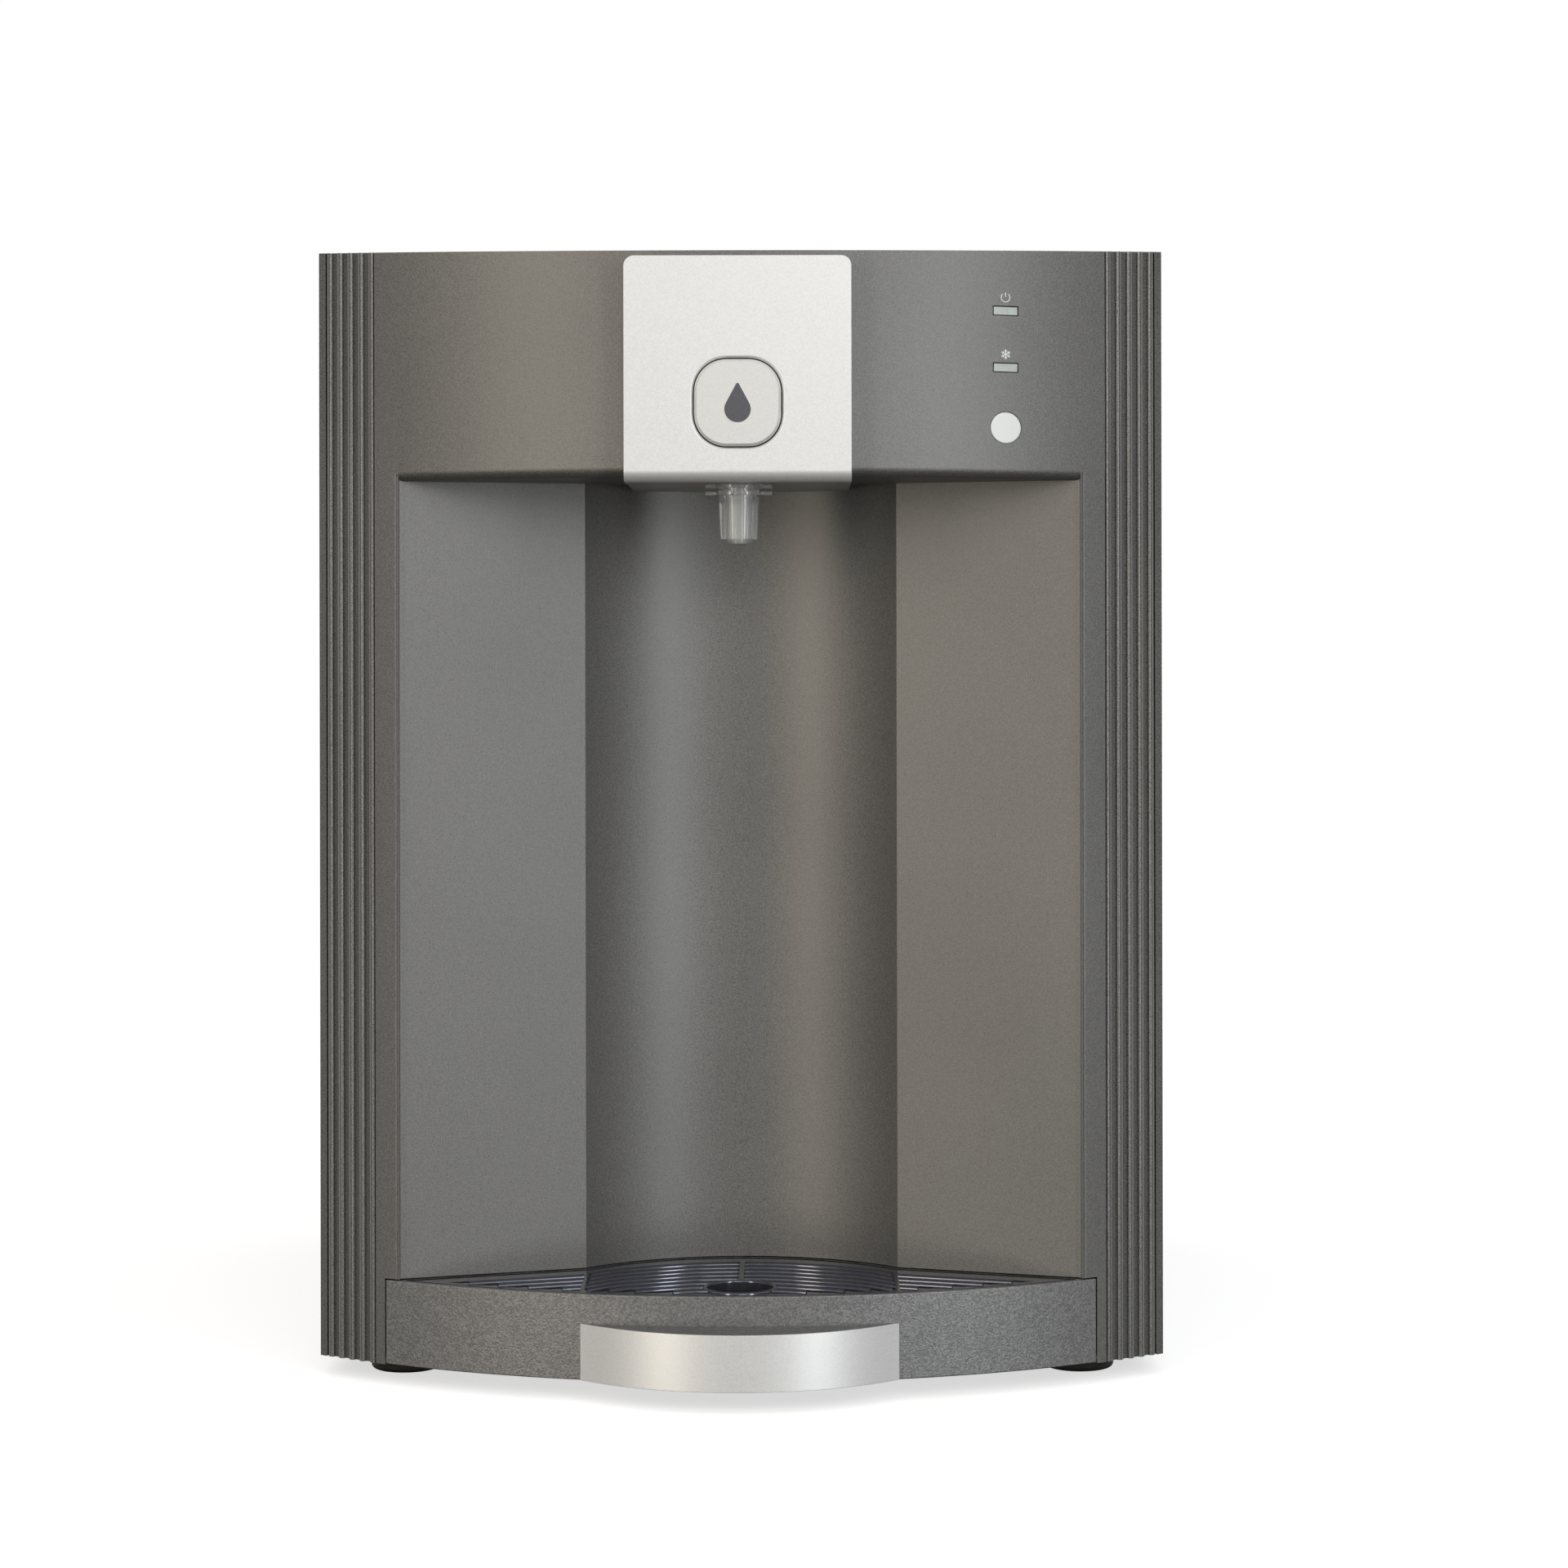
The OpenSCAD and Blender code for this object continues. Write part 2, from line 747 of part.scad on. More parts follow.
module fascia_profile() {
    lip_x = bow_r - lip_r;
    lip_z = ceiling_z + lip_r;
    box2(bow_r - wall, bow_r, lip_z, z1);
    translate([lip_x, lip_z]) mirror([0, 1]) quarter(lip_r);
    box2(lip_x - wall, lip_x, ceiling_z, lip_z);
}
module front_panel() color(graphite) place() difference() {
    union() {
        // Fascia with its rounded lower lip
        intersection() {
            translate([0, bow_cy, 0]) rotate_extrude($fn = 360) fascia_profile();
            bar(-panel_half, panel_half, -bow_rise - 1, 1, z0, z1);
        }
        translate([0, 0, wall_foot]) linear_extrude(ceiling_z + wall - wall_foot) opening_walls_plan();
        // Strips beside the tray
        translate([0, 0, z0]) linear_extrude(wall_foot + 1 - z0) intersection() {
            difference() {
                bow_disc(bow_r);
                bow_disc(bow_r - wall);
            }
            both() box2(panel_half - tray_strip, panel_half, -bow_rise, 0);
        }
        // Corners where the strips meet the fascia's lip
        translate([0, 0, ceiling_z]) linear_extrude(lip_r) difference() {
            intersection() {
                difference() {
                    bow_disc(bow_r);
                    bow_disc(bow_r - wall);
                }
                both() box2(open_half, panel_half, -bow_rise, 0);
            }
            both() edge_cut();
        }
        // Ceiling
        translate([0, 0, ceiling_z]) linear_extrude(wall) intersection() {
            bow_disc(bow_r - lip_r);
            alcove_plan(wall, open_half + wall);
        }
        // Roof behind the fascia, and the ledge that carries the top cover
        roof_slab(panel_half, bow_r - wall / 2);
        bar(-panel_half, panel_half, -ledge_lap, ledge_lap, z1 - roof_t - rail_t, z1 - roof_t);
        for (z = [board_z0 + boss_r, board_z1 - boss_r])
            rod_y(ind_x, bow_y(ind_x) + wall / 2, board_y, z, boss_r);
    }
    above_top();
    // Opening that the head's box passes through
    bar(-box_half - head_fit, box_half + head_fit, -far, box_back + head_fit,
        ceiling_z - 1, box_top + box_over);
    for (z = [power_z, chill_z])
        block(ind_x, z, lens_w + 2 * lens_gap, lens_h + 2 * lens_gap, -far, 0);
    rod_y(ind_x, -far, 0, mode_z, mode_d / 2 + lens_gap);
}

skirt_h = 20;
module top_cover() color(graphite) place() {
    translate([0, 0, z1 - cover_t]) linear_extrude(cover_t) intersection() {
        box2(-inner_half + seam, inner_half - seam, seam, body_d);
        bow_disc(groove_r - wall - seam);
    }
    bar(-inner_half + seam, inner_half - seam, body_d - flange_t, body_d, z1 - skirt_h, z1 - cover_t);
}

screw_x = inner_half - flange_w / 2;
screw_end = 42;
screw_rows = 4;
screw_zs = [for (i = [0:screw_rows - 1]) z0 + screw_end + i * (body_h - 2 * screw_end) / (screw_rows - 1)];
vent_w = 50;
vent_h = 3;
vent_pitch = 8;
vent_gap = 6;
vent_rows = 5;
vent_drop = 40;
module rear_panel() color(graphite) place() difference() {
    bar(-inner_half + seam, inner_half - seam, rear_y, rear_y + rear_t, floor_z, z1 - cover_t - seam);
    // Vents behind the condenser, and more under the top
    for (s = [-1, 1], z = [cond_z0:vent_pitch:cond_z1]) vent(fan_x + s * (vent_w + vent_gap) / 2, z);
    for (s = [-1.5:1.5], i = [0:vent_rows - 1])
        vent(s * (vent_w + vent_gap), z1 - vent_drop - i * vent_pitch);
    rod_y(inlet_x, rear_y - 1, rear_y + rear_t + 1, inlet_z, inlet_r + screw_gap);
    block(mains_x, mains_z, mains_w + 2 * seam, mains_h + 2 * seam, 0, far);
    block(rocker_x, mains_z, frame_w + 2 * seam, frame_h + 2 * seam, 0, far);
    both() for (z = screw_zs) rod_y(screw_x, rear_y - 1, rear_y + rear_t + 1, z, screw_r + screw_gap);
}
module vent(x, z) block(x, z, vent_w, vent_h, rear_y - 1, rear_y + rear_t + 1);
module rear_panel_screws() color(steel) place() both() for (z = screw_zs) {
    rod_y(screw_x, rear_y - rear_screw_in, rear_y + rear_t, z, screw_r);
    rod_y(screw_x, rear_y + rear_t, rear_y + rear_t + head_screw_h, z, head_screw_r);
}

// Dispense head

module head_front(inset) {
    r = head_corner - inset;
    box2(-head_half + inset, head_half - inset, head_z0, head_z1 - inset - r);
    box2(-head_half + inset + r, head_half - inset - r, head_z0, head_z1 - inset);
    for (s = [0, 1]) mirror([s, 0]) translate([head_half - inset - r, head_z1 - inset - r]) quarter(r);
}
module head_side() {
    b = head_bend;
    box2(head_y, 0, head_z0 + b, head_z1);
    box2(head_y + b, 0, head_z0, head_z0 + b);
    translate([head_y + b, head_z0 + b]) rotate(180) quarter(b);
}
module head_cover() color(silver) place() difference() {
    inside = head_half - head_t;
    intersection() {
        along_y(head_y, 0) head_front(0);
        along_x(-head_half, head_half) head_side();
    }
    // Hollow behind the front, open at the back and at the bottom behind the bend
    along_y(head_y + head_t, 1) intersection() {
        head_front(head_t);
        box2(-far, far, head_z0 + head_bend, far);
    }
    bar(-inside, inside, head_y + return_d, 1, head_z0 - 1, head_z0 + head_bend + tiny);
    along_x(-inside, inside) {
        translate([head_y + head_bend, head_z0 + head_bend]) rotate(180) quarter(head_bend - head_t);
        translate([head_y + head_bend - tiny, head_z0 + head_t])
            square([return_d - head_bend + 2 * tiny, head_bend - head_t + tiny]);
    }
    // The fascia fits against the back
    translate([0, 0, head_z0 - 1]) linear_extrude(far) bow_disc(bow_r + head_fit);
    translate([0, 0, button_z]) along_y(head_y - 1, head_y + head_t + 1)
        round_square(button_w, button_w, button_r);
}

module head_floor_plan() intersection() {
    union() {
        box2(-head_half + head_t + head_fit, head_half - head_t - head_fit, head_y + return_d + head_fit, 0);
        intersection() {
            box2(-head_half, head_half, -far, alcove_d);
            bow_disc(bow_r - head_fit);
        }
    }
    union() {
        box2(-head_half, head_half, -far, 0);
        back_plan(-lift_gap);
    }
}
module head_housing() color(graphite) place() difference() {
    union() {
        translate([0, 0, head_z0]) linear_extrude(head_low) head_floor_plan();
        // Box round the valve, open at the back and the top
        difference() {
            bar(-box_half, box_half, box_front, box_back, ceiling_z - floor_lap, box_top);
            bar(-box_half + box_t, box_half - box_t, box_front + box_t, far, ceiling_z - 1, box_top + 1);
        }
        // Bridge that carries the switch
        block(0, button_z, 2 * box_half, bridge_h, switch_y + switch_d, switch_y + switch_d + box_t);
        rod_z(0, spout_y, ceiling_z - floor_lap, valve_z, stem_d / 2 + boss_w);
    }
    rod_z(0, spout_y, head_z0 - 1, valve_z + 1, stem_d / 2 + run_gap);
    rod_y(0, box_front - 1, box_front + box_t + 1, button_z, plunger_d / 2 + run_gap);
}

module dispense_button() color(silver) place() translate([0, 0, button_z]) {
    w = button_w - 2 * button_gap;
    r = button_r - button_gap;
    bevel_d = 0.8;
    rim_h = 1;
    lip_w = 1.5;
    rotate([90, 0, 0]) hull() for (x = [-1, 1], z = [-1, 1])
        translate([x * (w / 2 - r), z * (w / 2 - r), -button_face - bevel_d]) {
            translate([0, 0, -rim_h]) cylinder(h = rim_h, r = r, $fn = 48);
            cylinder(h = bevel_d, r1 = r, r2 = r - bevel, $fn = 48);
        }
    along_y(button_face + bevel_d + rim_h / 2, lip_y + tiny) round_square(w, w, r);
    along_y(lip_y, button_back) round_square(w + 2 * lip_w, w + 2 * lip_w, r + lip_w);
    rod_y(0, button_back - lip_t / 2, plunger_end, 0, plunger_d / 2);
}

spring_turns = 4;
spring_steps = 10;
spring_sides = 6;
wire_r = 0.45;
spring_gap = 2.2;
spring_play = 0.15;
spring_r = plunger_d / 2 + spring_gap;
spring_y0 = button_back + wire_r + spring_play;
spring_y1 = box_front - wire_r - spring_play;
module button_spring() color(steel) place() {
    n = spring_turns * spring_steps;
    points = [for (i = [0:n], k = [0:spring_sides - 1]) spring_point(i, i / n, k * 360 / spring_sides)];
    walls = [for (i = [0:n - 1], k = [0:spring_sides - 1], f = [0, 1]) let (
        a = i * spring_sides + k, b = i * spring_sides + (k + 1) % spring_sides
    ) f == 0 ? [a, b, b + spring_sides] : [a, b + spring_sides, a + spring_sides]];
    ends = [
        for (k = [1:spring_sides - 2]) [0, k + 1, k],
        for (k = [1:spring_sides - 2]) [n * spring_sides, n * spring_sides + k, n * spring_sides + k + 1]
    ];
    polyhedron(points, concat(walls, ends));
}
function spring_point(i, t, a) = let (
    turn = 360 * i / spring_steps, r = spring_r + wire_r * cos(a)
) [r * cos(turn), spring_y0 + (spring_y1 - spring_y0) * t + wire_r * sin(a), button_z + r * sin(turn)];

module dispense_switch() color(black) place() difference() {
    union() {
        block(0, button_z, switch_w, switch_h, switch_y + key_out, switch_y + switch_d);
        block(0, button_z, key_w, key_h, switch_y, switch_y + 2 * key_out);
    }
    both() rod_z(switch_hole_x, switch_y + switch_d / 2, 0, far, switch_hole_r);
}

module dispense_valve() color(white) place() difference() {
    union() {
        bar(-valve_w / 2, valve_w / 2, valve_front, valve_back, valve_z, valve_z + valve_h);
        rod_y(0, valve_back - 1, valve_back + barb_l, barb_z, tube_r + barb_t);
    }
    rod_z(0, spout_y, valve_z - 1, barb_z, nozzle_bore / 2);
    rod_y(0, spout_y, valve_back + barb_l + 1, barb_z, tube_r - tube_t);
}
module valve_coil() color(black) place() difference() {
    rod_z(0, coil_y, valve_z + valve_h, valve_z + valve_h + coil_h, coil_r);
    rod_z(0, coil_y, valve_z + valve_h + coil_floor, far, coil_bore_r);
}

ear_w = 7;
module collar(z) {
    rod_z(0, 0, z, z + collar_t, collar_r);
    bar(-ear_span / 2, ear_span / 2, -ear_w / 2, ear_w / 2, z, z + collar_t);
}
gusset_h = 5;
gusset_t = 1.2;
gusset_deep = 2;
gusset_lap = 0.1;
gusset_in = 0.3;
gusset_root = nozzle_d / 2 - gusset_deep;
gusset_end = collar_r - gusset_in;
module nozzle() color(clear) place() translate([0, spout_y, 0]) difference() {
    union() {
        rod_z(0, 0, collar_z - collar_h, head_z0 + stem_h, stem_d / 2);
        rod_z(0, 0, collar_z - collar_h, collar_z, nozzle_d / 2);
        collar(collar_z - collar_t);
        collar(collar_z - collar_h);
        translate([0, 0, tip_z + tip_cut])
            cylinder(h = nozzle_l - tip_cut, r1 = nozzle_end_d / 2, r2 = nozzle_d / 2);
        translate([0, 0, tip_z])
            cylinder(h = tip_cut, r1 = nozzle_end_d / 2 - tip_cut, r2 = nozzle_end_d / 2);
        // Webs under the lower collar
        for (a = [45:90:315]) rotate(a) along_y(-gusset_t / 2, gusset_t / 2)
            translate([0, collar_z - collar_h])
                polygon([[gusset_root, gusset_lap], [gusset_end, gusset_lap], [gusset_root, -gusset_h]]);
    }
    rod_z(0, 0, tip_z - 1, far, nozzle_bore / 2);
    // Groove of the seal
    translate([0, 0, seal_z]) difference() {
        cylinder(h = 2 * seal_r + seal_room, r = stem_d, center = true);
        cylinder(h = far, r = stem_d / 2 - 2 * seal_r - seal_fit, center = true);
    }
}
module nozzle_seal() color(black) place() translate([0, spout_y, seal_z])
    rotate_extrude() translate([stem_d / 2 - seal_r, 0]) circle(seal_r);

// Indicators

module lens(z) color(lens_grey) place() intersection() {
    block(ind_x, z, lens_w, lens_h, -bow_rise, board_y);
    linear_extrude(far) bow_disc(bow_r - lens_set);
}
module power_lens() lens(power_z);
module chill_lens() lens(chill_z);
module mode_button() color(white) place() {
    intersection() {
        rod_y(ind_x, -bow_rise, mode_lip_y + mode_lip_t, mode_z, mode_d / 2);
        linear_extrude(far) bow_disc(bow_r + mode_proud);
    }
    rod_y(ind_x, mode_lip_y, mode_lip_y + mode_lip_t, mode_z, mode_d / 2 + mode_lip);
}
module indicator_board() color(green) place() {
    bar(ind_x - board_w / 2, ind_x + board_w / 2, board_y, board_y + board_t, board_z0, board_z1);
    block(ind_x, mode_z, tact_w, tact_w, board_y - tact_h, board_y);
    block(ind_x, chill_z, plug_w, plug_h, board_y + board_t, board_y + board_t + plug_d);
}

// Drip tray

module tray_plan(wall_d, front_in, half) intersection() {
    alcove_plan(wall_d, half);
    bow_disc(bow_r - front_in);
}
module drip_tray() color(graphite) place() difference() {
    union() {
        translate([0, 0, tray_z]) linear_extrude(tray_top - tray_z) tray_plan(tray_lap, 0, tray_half);
        // Apron in front of the base pan's edge
        translate([0, 0, apron_z]) linear_extrude(tray_h) difference() {
            tray_plan(tray_lap, 0, tray_half);
            bow_disc(bow_r - tray_wall);
        }
    }
    translate([0, 0, tray_top - grid_t]) linear_extrude(far)
        tray_plan(rim_gap, tray_wall, open_half + rim_gap);
    translate([0, 0, tray_z + tray_floor_t]) linear_extrude(far)
        tray_plan(rim_gap - ledge_w, tray_wall + ledge_w, open_half + rim_gap - ledge_w);
}

// Slots between bars that repeat the back wall's outline from the back to the front
slot_w = bar_pitch - bar_w;
slot_r = back_r - grid_gap;
mid_slots = floor((alcove_d + bow_rise - grid_gap - grid_back - slot_w) / bar_pitch);
wing_slots = ceil((alcove_in_d + bow_rise) / bar_pitch);
drain_r = drain_d / 2 + drain_ring;
module mid_slot_plan() difference() {
    for (i = [0:mid_slots]) translate([0, back_cy - grid_back - i * bar_pitch]) difference() {
        circle(slot_r, $fn = 180);
        translate([0, -slot_w]) circle(slot_r, $fn = 180);
    }
    box2(-rung_w / 2, rung_w / 2, -far, far);
    both() box2(in_half - rung_w, far, -far, far);
    translate([0, spout_y]) circle(drain_r);
}
module wing_slot_plan() intersection() {
    for (i = [0:wing_slots - 1]) translate([0, -i * bar_pitch]) both() polygon([
        [in_half, splay_y(in_half, -grid_gap - grid_back)],
        [open_half, splay_y(open_half, -grid_gap - grid_back)],
        [open_half, splay_y(open_half, -grid_gap - grid_back) - slot_w],
        [in_half, splay_y(in_half, -grid_gap - grid_back) - slot_w]
    ]);
    both() box2(in_half, open_half, -far, far);
}
module drip_grid() color(black) place() translate([0, 0, tray_top - grid_t]) difference() {
    intersection() {
        union() {
            linear_extrude(grid_t) splay_plan(-grid_gap, open_half - grid_gap);
            linear_extrude(grid_t) back_plan(-grid_gap);
        }
        translate([0, 0, -1]) linear_extrude(grid_t + 2) bow_disc(bow_r - grid_in);
    }
    translate([0, 0, -1]) linear_extrude(grid_t + 2) {
        intersection() {
            union() {
                mid_slot_plan();
                wing_slot_plan();
            }
            bow_disc(bow_r - grid_in - grid_rim);
        }
        translate([0, spout_y]) circle(drain_d / 2);
    }
}

module handle_plan(r) difference() {
    translate([0, handle_cy]) circle(r, $fn = 180);
    bow_disc(bow_r + handle_joint);
    box2(-far, far, 0, far);
}
module tray_handle() color(graphite) place() translate([0, 0, apron_z]) linear_extrude(handle_h)
    handle_plan(handle_r - plate_t);
module handle_plate() color(silver) place() translate([0, 0, apron_z]) linear_extrude(handle_h) difference() {
    handle_plan(handle_r);
    translate([0, handle_cy]) circle(handle_r - plate_t, $fn = 180);
}

// Cooling system

module tank_stand() color(steel) place() translate([0, stand_y, 0]) difference() {
    union() {
        bar(-stand_w / 2, stand_w / 2, -stand_d / 2, stand_d / 2, stand_z - sheet, stand_z);
        for (x = [-1, 1], y = [-1, 1])
            translate([x * (stand_w - leg_w) / 2, y * (stand_d - leg_w) / 2, floor_z])
                linear_extrude(stand_h - sheet) difference() {
                    square(leg_w, center = true);
                    square(leg_w - 2 * sheet, center = true);
                }
    }
    rod_z(comp_x, 0, stand_z - sheet - 1, stand_z + 1, pipe_r + pipe_room);
}
module tank_shell(r, z0, z1) {
    translate([0, 0, z0]) cylinder(h = z1 - tank_dome - z0, r = r);
    translate([0, 0, z1 - tank_dome]) cylinder(h = tank_dome, r1 = r, r2 = r * tank_neck);
}
module cold_tank() color(steel) place() translate([0, stand_y, 0]) difference() {
    union() {
        tank_shell(tank_r, tank_z0, tank_top);
        for (s = [-1, 1]) rod_z(0, s * stub_in, tank_top - stub_root, stub_top, stub_r);
    }
    tank_shell(tank_r - tank_t, tank_z0 + tank_t, tank_top - tank_t);
    for (s = [-1, 1]) rod_z(0, s * stub_in, tank_top - 2 * stub_root, far, tube_r - tube_t);
}
module evaporator_jacket() color(copper) place() translate([0, stand_y, jacket_z0]) difference() {
    cylinder(h = jacket_z1 - jacket_z0, r = jacket_r);
    translate([0, 0, -1]) cylinder(h = far, r = tank_r + tank_gap);
}
module foam_half(s) place() translate([0, stand_y, 0]) difference() {
    near = s < 0 ? -foam_w / 2 : foam_split;
    bar(-foam_w / 2, foam_w / 2, near, near + foam_w / 2 - foam_split, stand_z, foam_top);
    rod_z(0, 0, tank_z0, tank_top + hole_gap, foam_hole);
    rod_z(0, s * stub_in, tank_top, far, stub_r + hole_gap);
    // Channels of the suction line and the capillary tube
    rod_z(comp_x, 0, stand_z - 1, suction_top + channel_gap, pipe_r + channel_gap);
    if (s > 0) rod_y(drier_x, 0, far, cap_z, cap_r + hole_gap);
}
module insulation_front() color(foam) foam_half(-1);
module insulation_rear() color(foam) foam_half(1);

function bolt_xs() = [comp_x - bolt_x, comp_x + bolt_x];
function bolt_ys() = [comp_y - bolt_y, comp_y + bolt_y];
module compressor() color(black) place() difference() {
    union() {
        translate([comp_x, comp_y, comp_z + comp_plate]) rotate_extrude() {
            box2(0, comp_r, 0, comp_h - comp_dome);
            translate([0, comp_h - comp_dome])
                polygon([[0, 0], for (a = [0:10:90]) [comp_r * cos(a), comp_dome * sin(a)]]);
        }
        translate([comp_x, comp_y, comp_z]) linear_extrude(comp_plate)
            square(2 * [bolt_x + plate_edge, bolt_y + plate_edge], center = true);
        // Suction stub on the axis, discharge stub behind it
        rod_z(comp_x, comp_y, comp_z + comp_h - stub_deep, comp_stub_top, pipe_r + stub_t);
        rod_z(comp_x, discharge_y, comp_z + comp_h - comp_dome, comp_stub_top, pipe_r + stub_t);
    }
    for (x = bolt_xs(), y = bolt_ys()) rod_z(x, y, comp_z - 1, comp_z + comp_plate + 1, bolt_r + screw_gap);
}
module compressor_grommets() color(black) place() for (x = bolt_xs(), y = bolt_ys()) difference() {
    rod_z(x, y, floor_z, comp_z, grommet_r);
    rod_z(x, y, floor_z - 1, comp_z + 1, bolt_r + screw_gap);
}
module compressor_bolts() color(steel) place() for (x = bolt_xs(), y = bolt_ys()) {
    rod_z(x, y, z0, comp_z + comp_plate, bolt_r);
    translate([x, y, comp_z + comp_plate]) cylinder(h = nut_h, r = nut_side, $fn = 6);
}

module condenser() color(steel) place() {
    // End plates, cut clear of the screws of the rear feet
    for (x = [cond_x0, cond_x1 - end_t]) difference() {
        bar(x, x + end_t, cond_y0, cond_y1, floor_z, cond_z1);
        both() rod_z(foot_x, foot_ys[1], 0, foot_h + foot_screw_in + screw_gap, screw_r + screw_gap);
    }
    fin_pitch = (fan_w - end_t) / (fin_count + 1);
    for (i = [1:fin_count]) translate([cond_x0 + end_t / 2 + i * fin_pitch, 0, 0])
        bar(-fin_t / 2, fin_t / 2, cond_y0, cond_y1, cond_z0, cond_z1);
    for (i = [0:row_count - 1]) {
        ends_out = i == 0 || i == row_count - 1;
        rod_x(cond_x0 - return_out, ends_out ? cond_out : cond_x1 + return_out, cond_y, row_z(i), pipe_r);
    }
    // Return bends, as short headers between neighbouring rows
    for (i = [0:row_count - 2]) {
        x = i % 2 == 0 ? cond_x0 - return_out : cond_x1 + return_out;
        rod_z(x, cond_y, row_z(i) - pipe_r, row_z(i + 1) + pipe_r, pipe_r + return_t);
    }
}

module fan_frame() color(black) place() {
    difference() {
        bar(cond_x0, cond_x1, fan_y0, cond_y0, cond_z0, cond_z1);
        rod_y(fan_x, fan_y0 - 1, cond_y0 + 1, fan_z, fan_r);
    }
    for (a = [45, 135]) translate([fan_x, 0, fan_z]) rotate([0, a, 0])
        block(0, 0, 2 * fan_r + strut_w, strut_w, fan_y0, fan_y0 + strut_t);
    rod_y(fan_x, fan_y0, fan_y0 + strut_t, fan_z, hub_r);
}
module fan_motor() color(steel) place() {
    rod_y(fan_x, fan_y0 + strut_t, fan_y0 + strut_t + motor_l, fan_z, motor_r);
    rod_y(fan_x, fan_y0 + strut_t, cond_y0 - shaft_short, fan_z, shaft_r);
}
cup_in = 2;
cup_out = 4;
cup_y0 = fan_y0 + strut_t + cup_in;
cup_y1 = cond_y0 - cup_out;
cup_t = 2.5;
cup_gap = 1;
cup_r = motor_r + cup_gap + cup_t;
module fan_rotor() color(graphite) place() translate([fan_x, 0, fan_z]) {
    difference() {
        rod_y(0, cup_y0, cup_y1, 0, cup_r);
        rod_y(0, cup_y0 - 1, fan_y0 + strut_t + motor_l + 1, 0, motor_r + cup_gap);
        rod_y(0, 0, far, 0, shaft_r + run_gap);
    }
    for (i = [0:blade_count - 1]) rotate([0, i * 360 / blade_count, 0])
        translate([cup_r - 1, (cup_y0 + cup_y1) / 2, 0]) rotate([90 - blade_tilt, 0, 0])
            translate([0, -blade_w / 2, -blade_t / 2])
                cube([fan_r - cup_r + 1 - blade_gap, blade_w, blade_t]);
}

module discharge_line() color(copper) place() run([
    [comp_x, discharge_y, comp_stub_top], [comp_x, discharge_y, line_z],
    [comp_x, line_y, line_z], [comp_x, line_y, top_row_z], [cond_out, line_y, top_row_z]
], pipe_r);
module suction_line() color(copper) place() rod_z(comp_x, comp_y, comp_stub_top, suction_top, pipe_r);
module filter_drier() color(copper) place() {
    run([
        [cond_out, line_y, low_row_z], [drier_x, line_y, low_row_z],
        [drier_x, drier_y, low_row_z], [drier_x, drier_y, drier_z0]
    ], pipe_r, drier_bend);
    translate([drier_x, drier_y, 0]) {
        translate([0, 0, drier_z0]) cylinder(h = drier_cone, r1 = pipe_r, r2 = drier_r);
        rod_z(0, 0, drier_z0 + drier_cone, drier_z1 - drier_cone, drier_r);
        translate([0, 0, drier_z1 - drier_cone]) cylinder(h = drier_cone, r1 = drier_r, r2 = cap_r);
    }
}
jacket_reach = stand_y + sqrt(jacket_r ^ 2 - (drier_x - cap_r) ^ 2) + tank_gap;
module capillary_tube() color(copper) place() run([
    [drier_x, drier_y, drier_z1], [drier_x, drier_y, cap_z], [drier_x, jacket_reach, cap_z]
], cap_r);

module inlet_fitting() color(black) place() difference() {
    union() {
        rod_y(inlet_x, rear_y - inlet_in_l, rear_y + rear_t + inlet_out, inlet_z, inlet_r);
        rod_y(inlet_x, rear_y + rear_t, rear_y + rear_t + flange_l, inlet_z, nut_r);
        translate([inlet_x, rear_y - nut_l, inlet_z]) rotate([-90, 0, 0])
            cylinder(h = nut_l, r = nut_r, $fn = 6);
    }
    rod_y(inlet_x, rear_y + rear_t + inlet_out - inlet_depth, far, inlet_z, inlet_bore / 2);
    rod_y(inlet_x, rear_y - inlet_in_l - 1, far, inlet_z, tube_r - tube_t);
}
module water_tube(points) color(white) place() difference() {
    run(points, tube_r);
    run(points, tube_r - tube_t);
}
module feed_tube() water_tube(feed_points);
module cold_tube() water_tube(cold_points);
feed_points = [
    [inlet_x, rear_y - inlet_in_l, inlet_z], [inlet_x, feed_y, inlet_z], [inlet_x, feed_y, tube_z],
    [0, feed_y, tube_z], [0, stand_y + stub_in, tube_z], [0, stand_y + stub_in, stub_top]
];
cold_points = [
    [0, valve_back + barb_l, barb_z], [0, riser_y, barb_z], [0, riser_y, tube_z],
    [0, stand_y - stub_in, tube_z], [0, stand_y - stub_in, stub_top]
];

pcb_in = 8;
pcb_x = inner_half - pcb_in;
pcb_w = 110;
pcb_h = 100;
pcb_up = 40;
transformer = [17.4, 30, 25];
relay = [15.4, 25, 20];
terminals = [10.4, 55, 18];
post_in = 7;
post_r = 3;
module control_board() color(green) place() translate([0, stand_y, stand_z + pcb_up]) {
    bar(pcb_x - board_t, pcb_x, -pcb_w / 2, pcb_w / 2, 0, pcb_h);
    // Posts on the side panel
    for (y = [-1, 1], z = [post_in, pcb_h - post_in])
        rod_x(pcb_x - board_t / 2, inner_half, y * (pcb_w / 2 - post_in), z, post_r);
    // Transformer, relay and terminal row
    pcb_part(transformer, -pcb_w / 2 + 2 * post_in, pcb_h / 2);
    pcb_part(relay, post_in, pcb_h / 2);
    pcb_part(terminals, -terminals.y / 2, pcb_h - 2 * post_in);
}
module pcb_part(size, y, top)
    bar(pcb_x - board_t - size.x, pcb_x - board_t / 2, y, y + size.y, top - size.z, top);

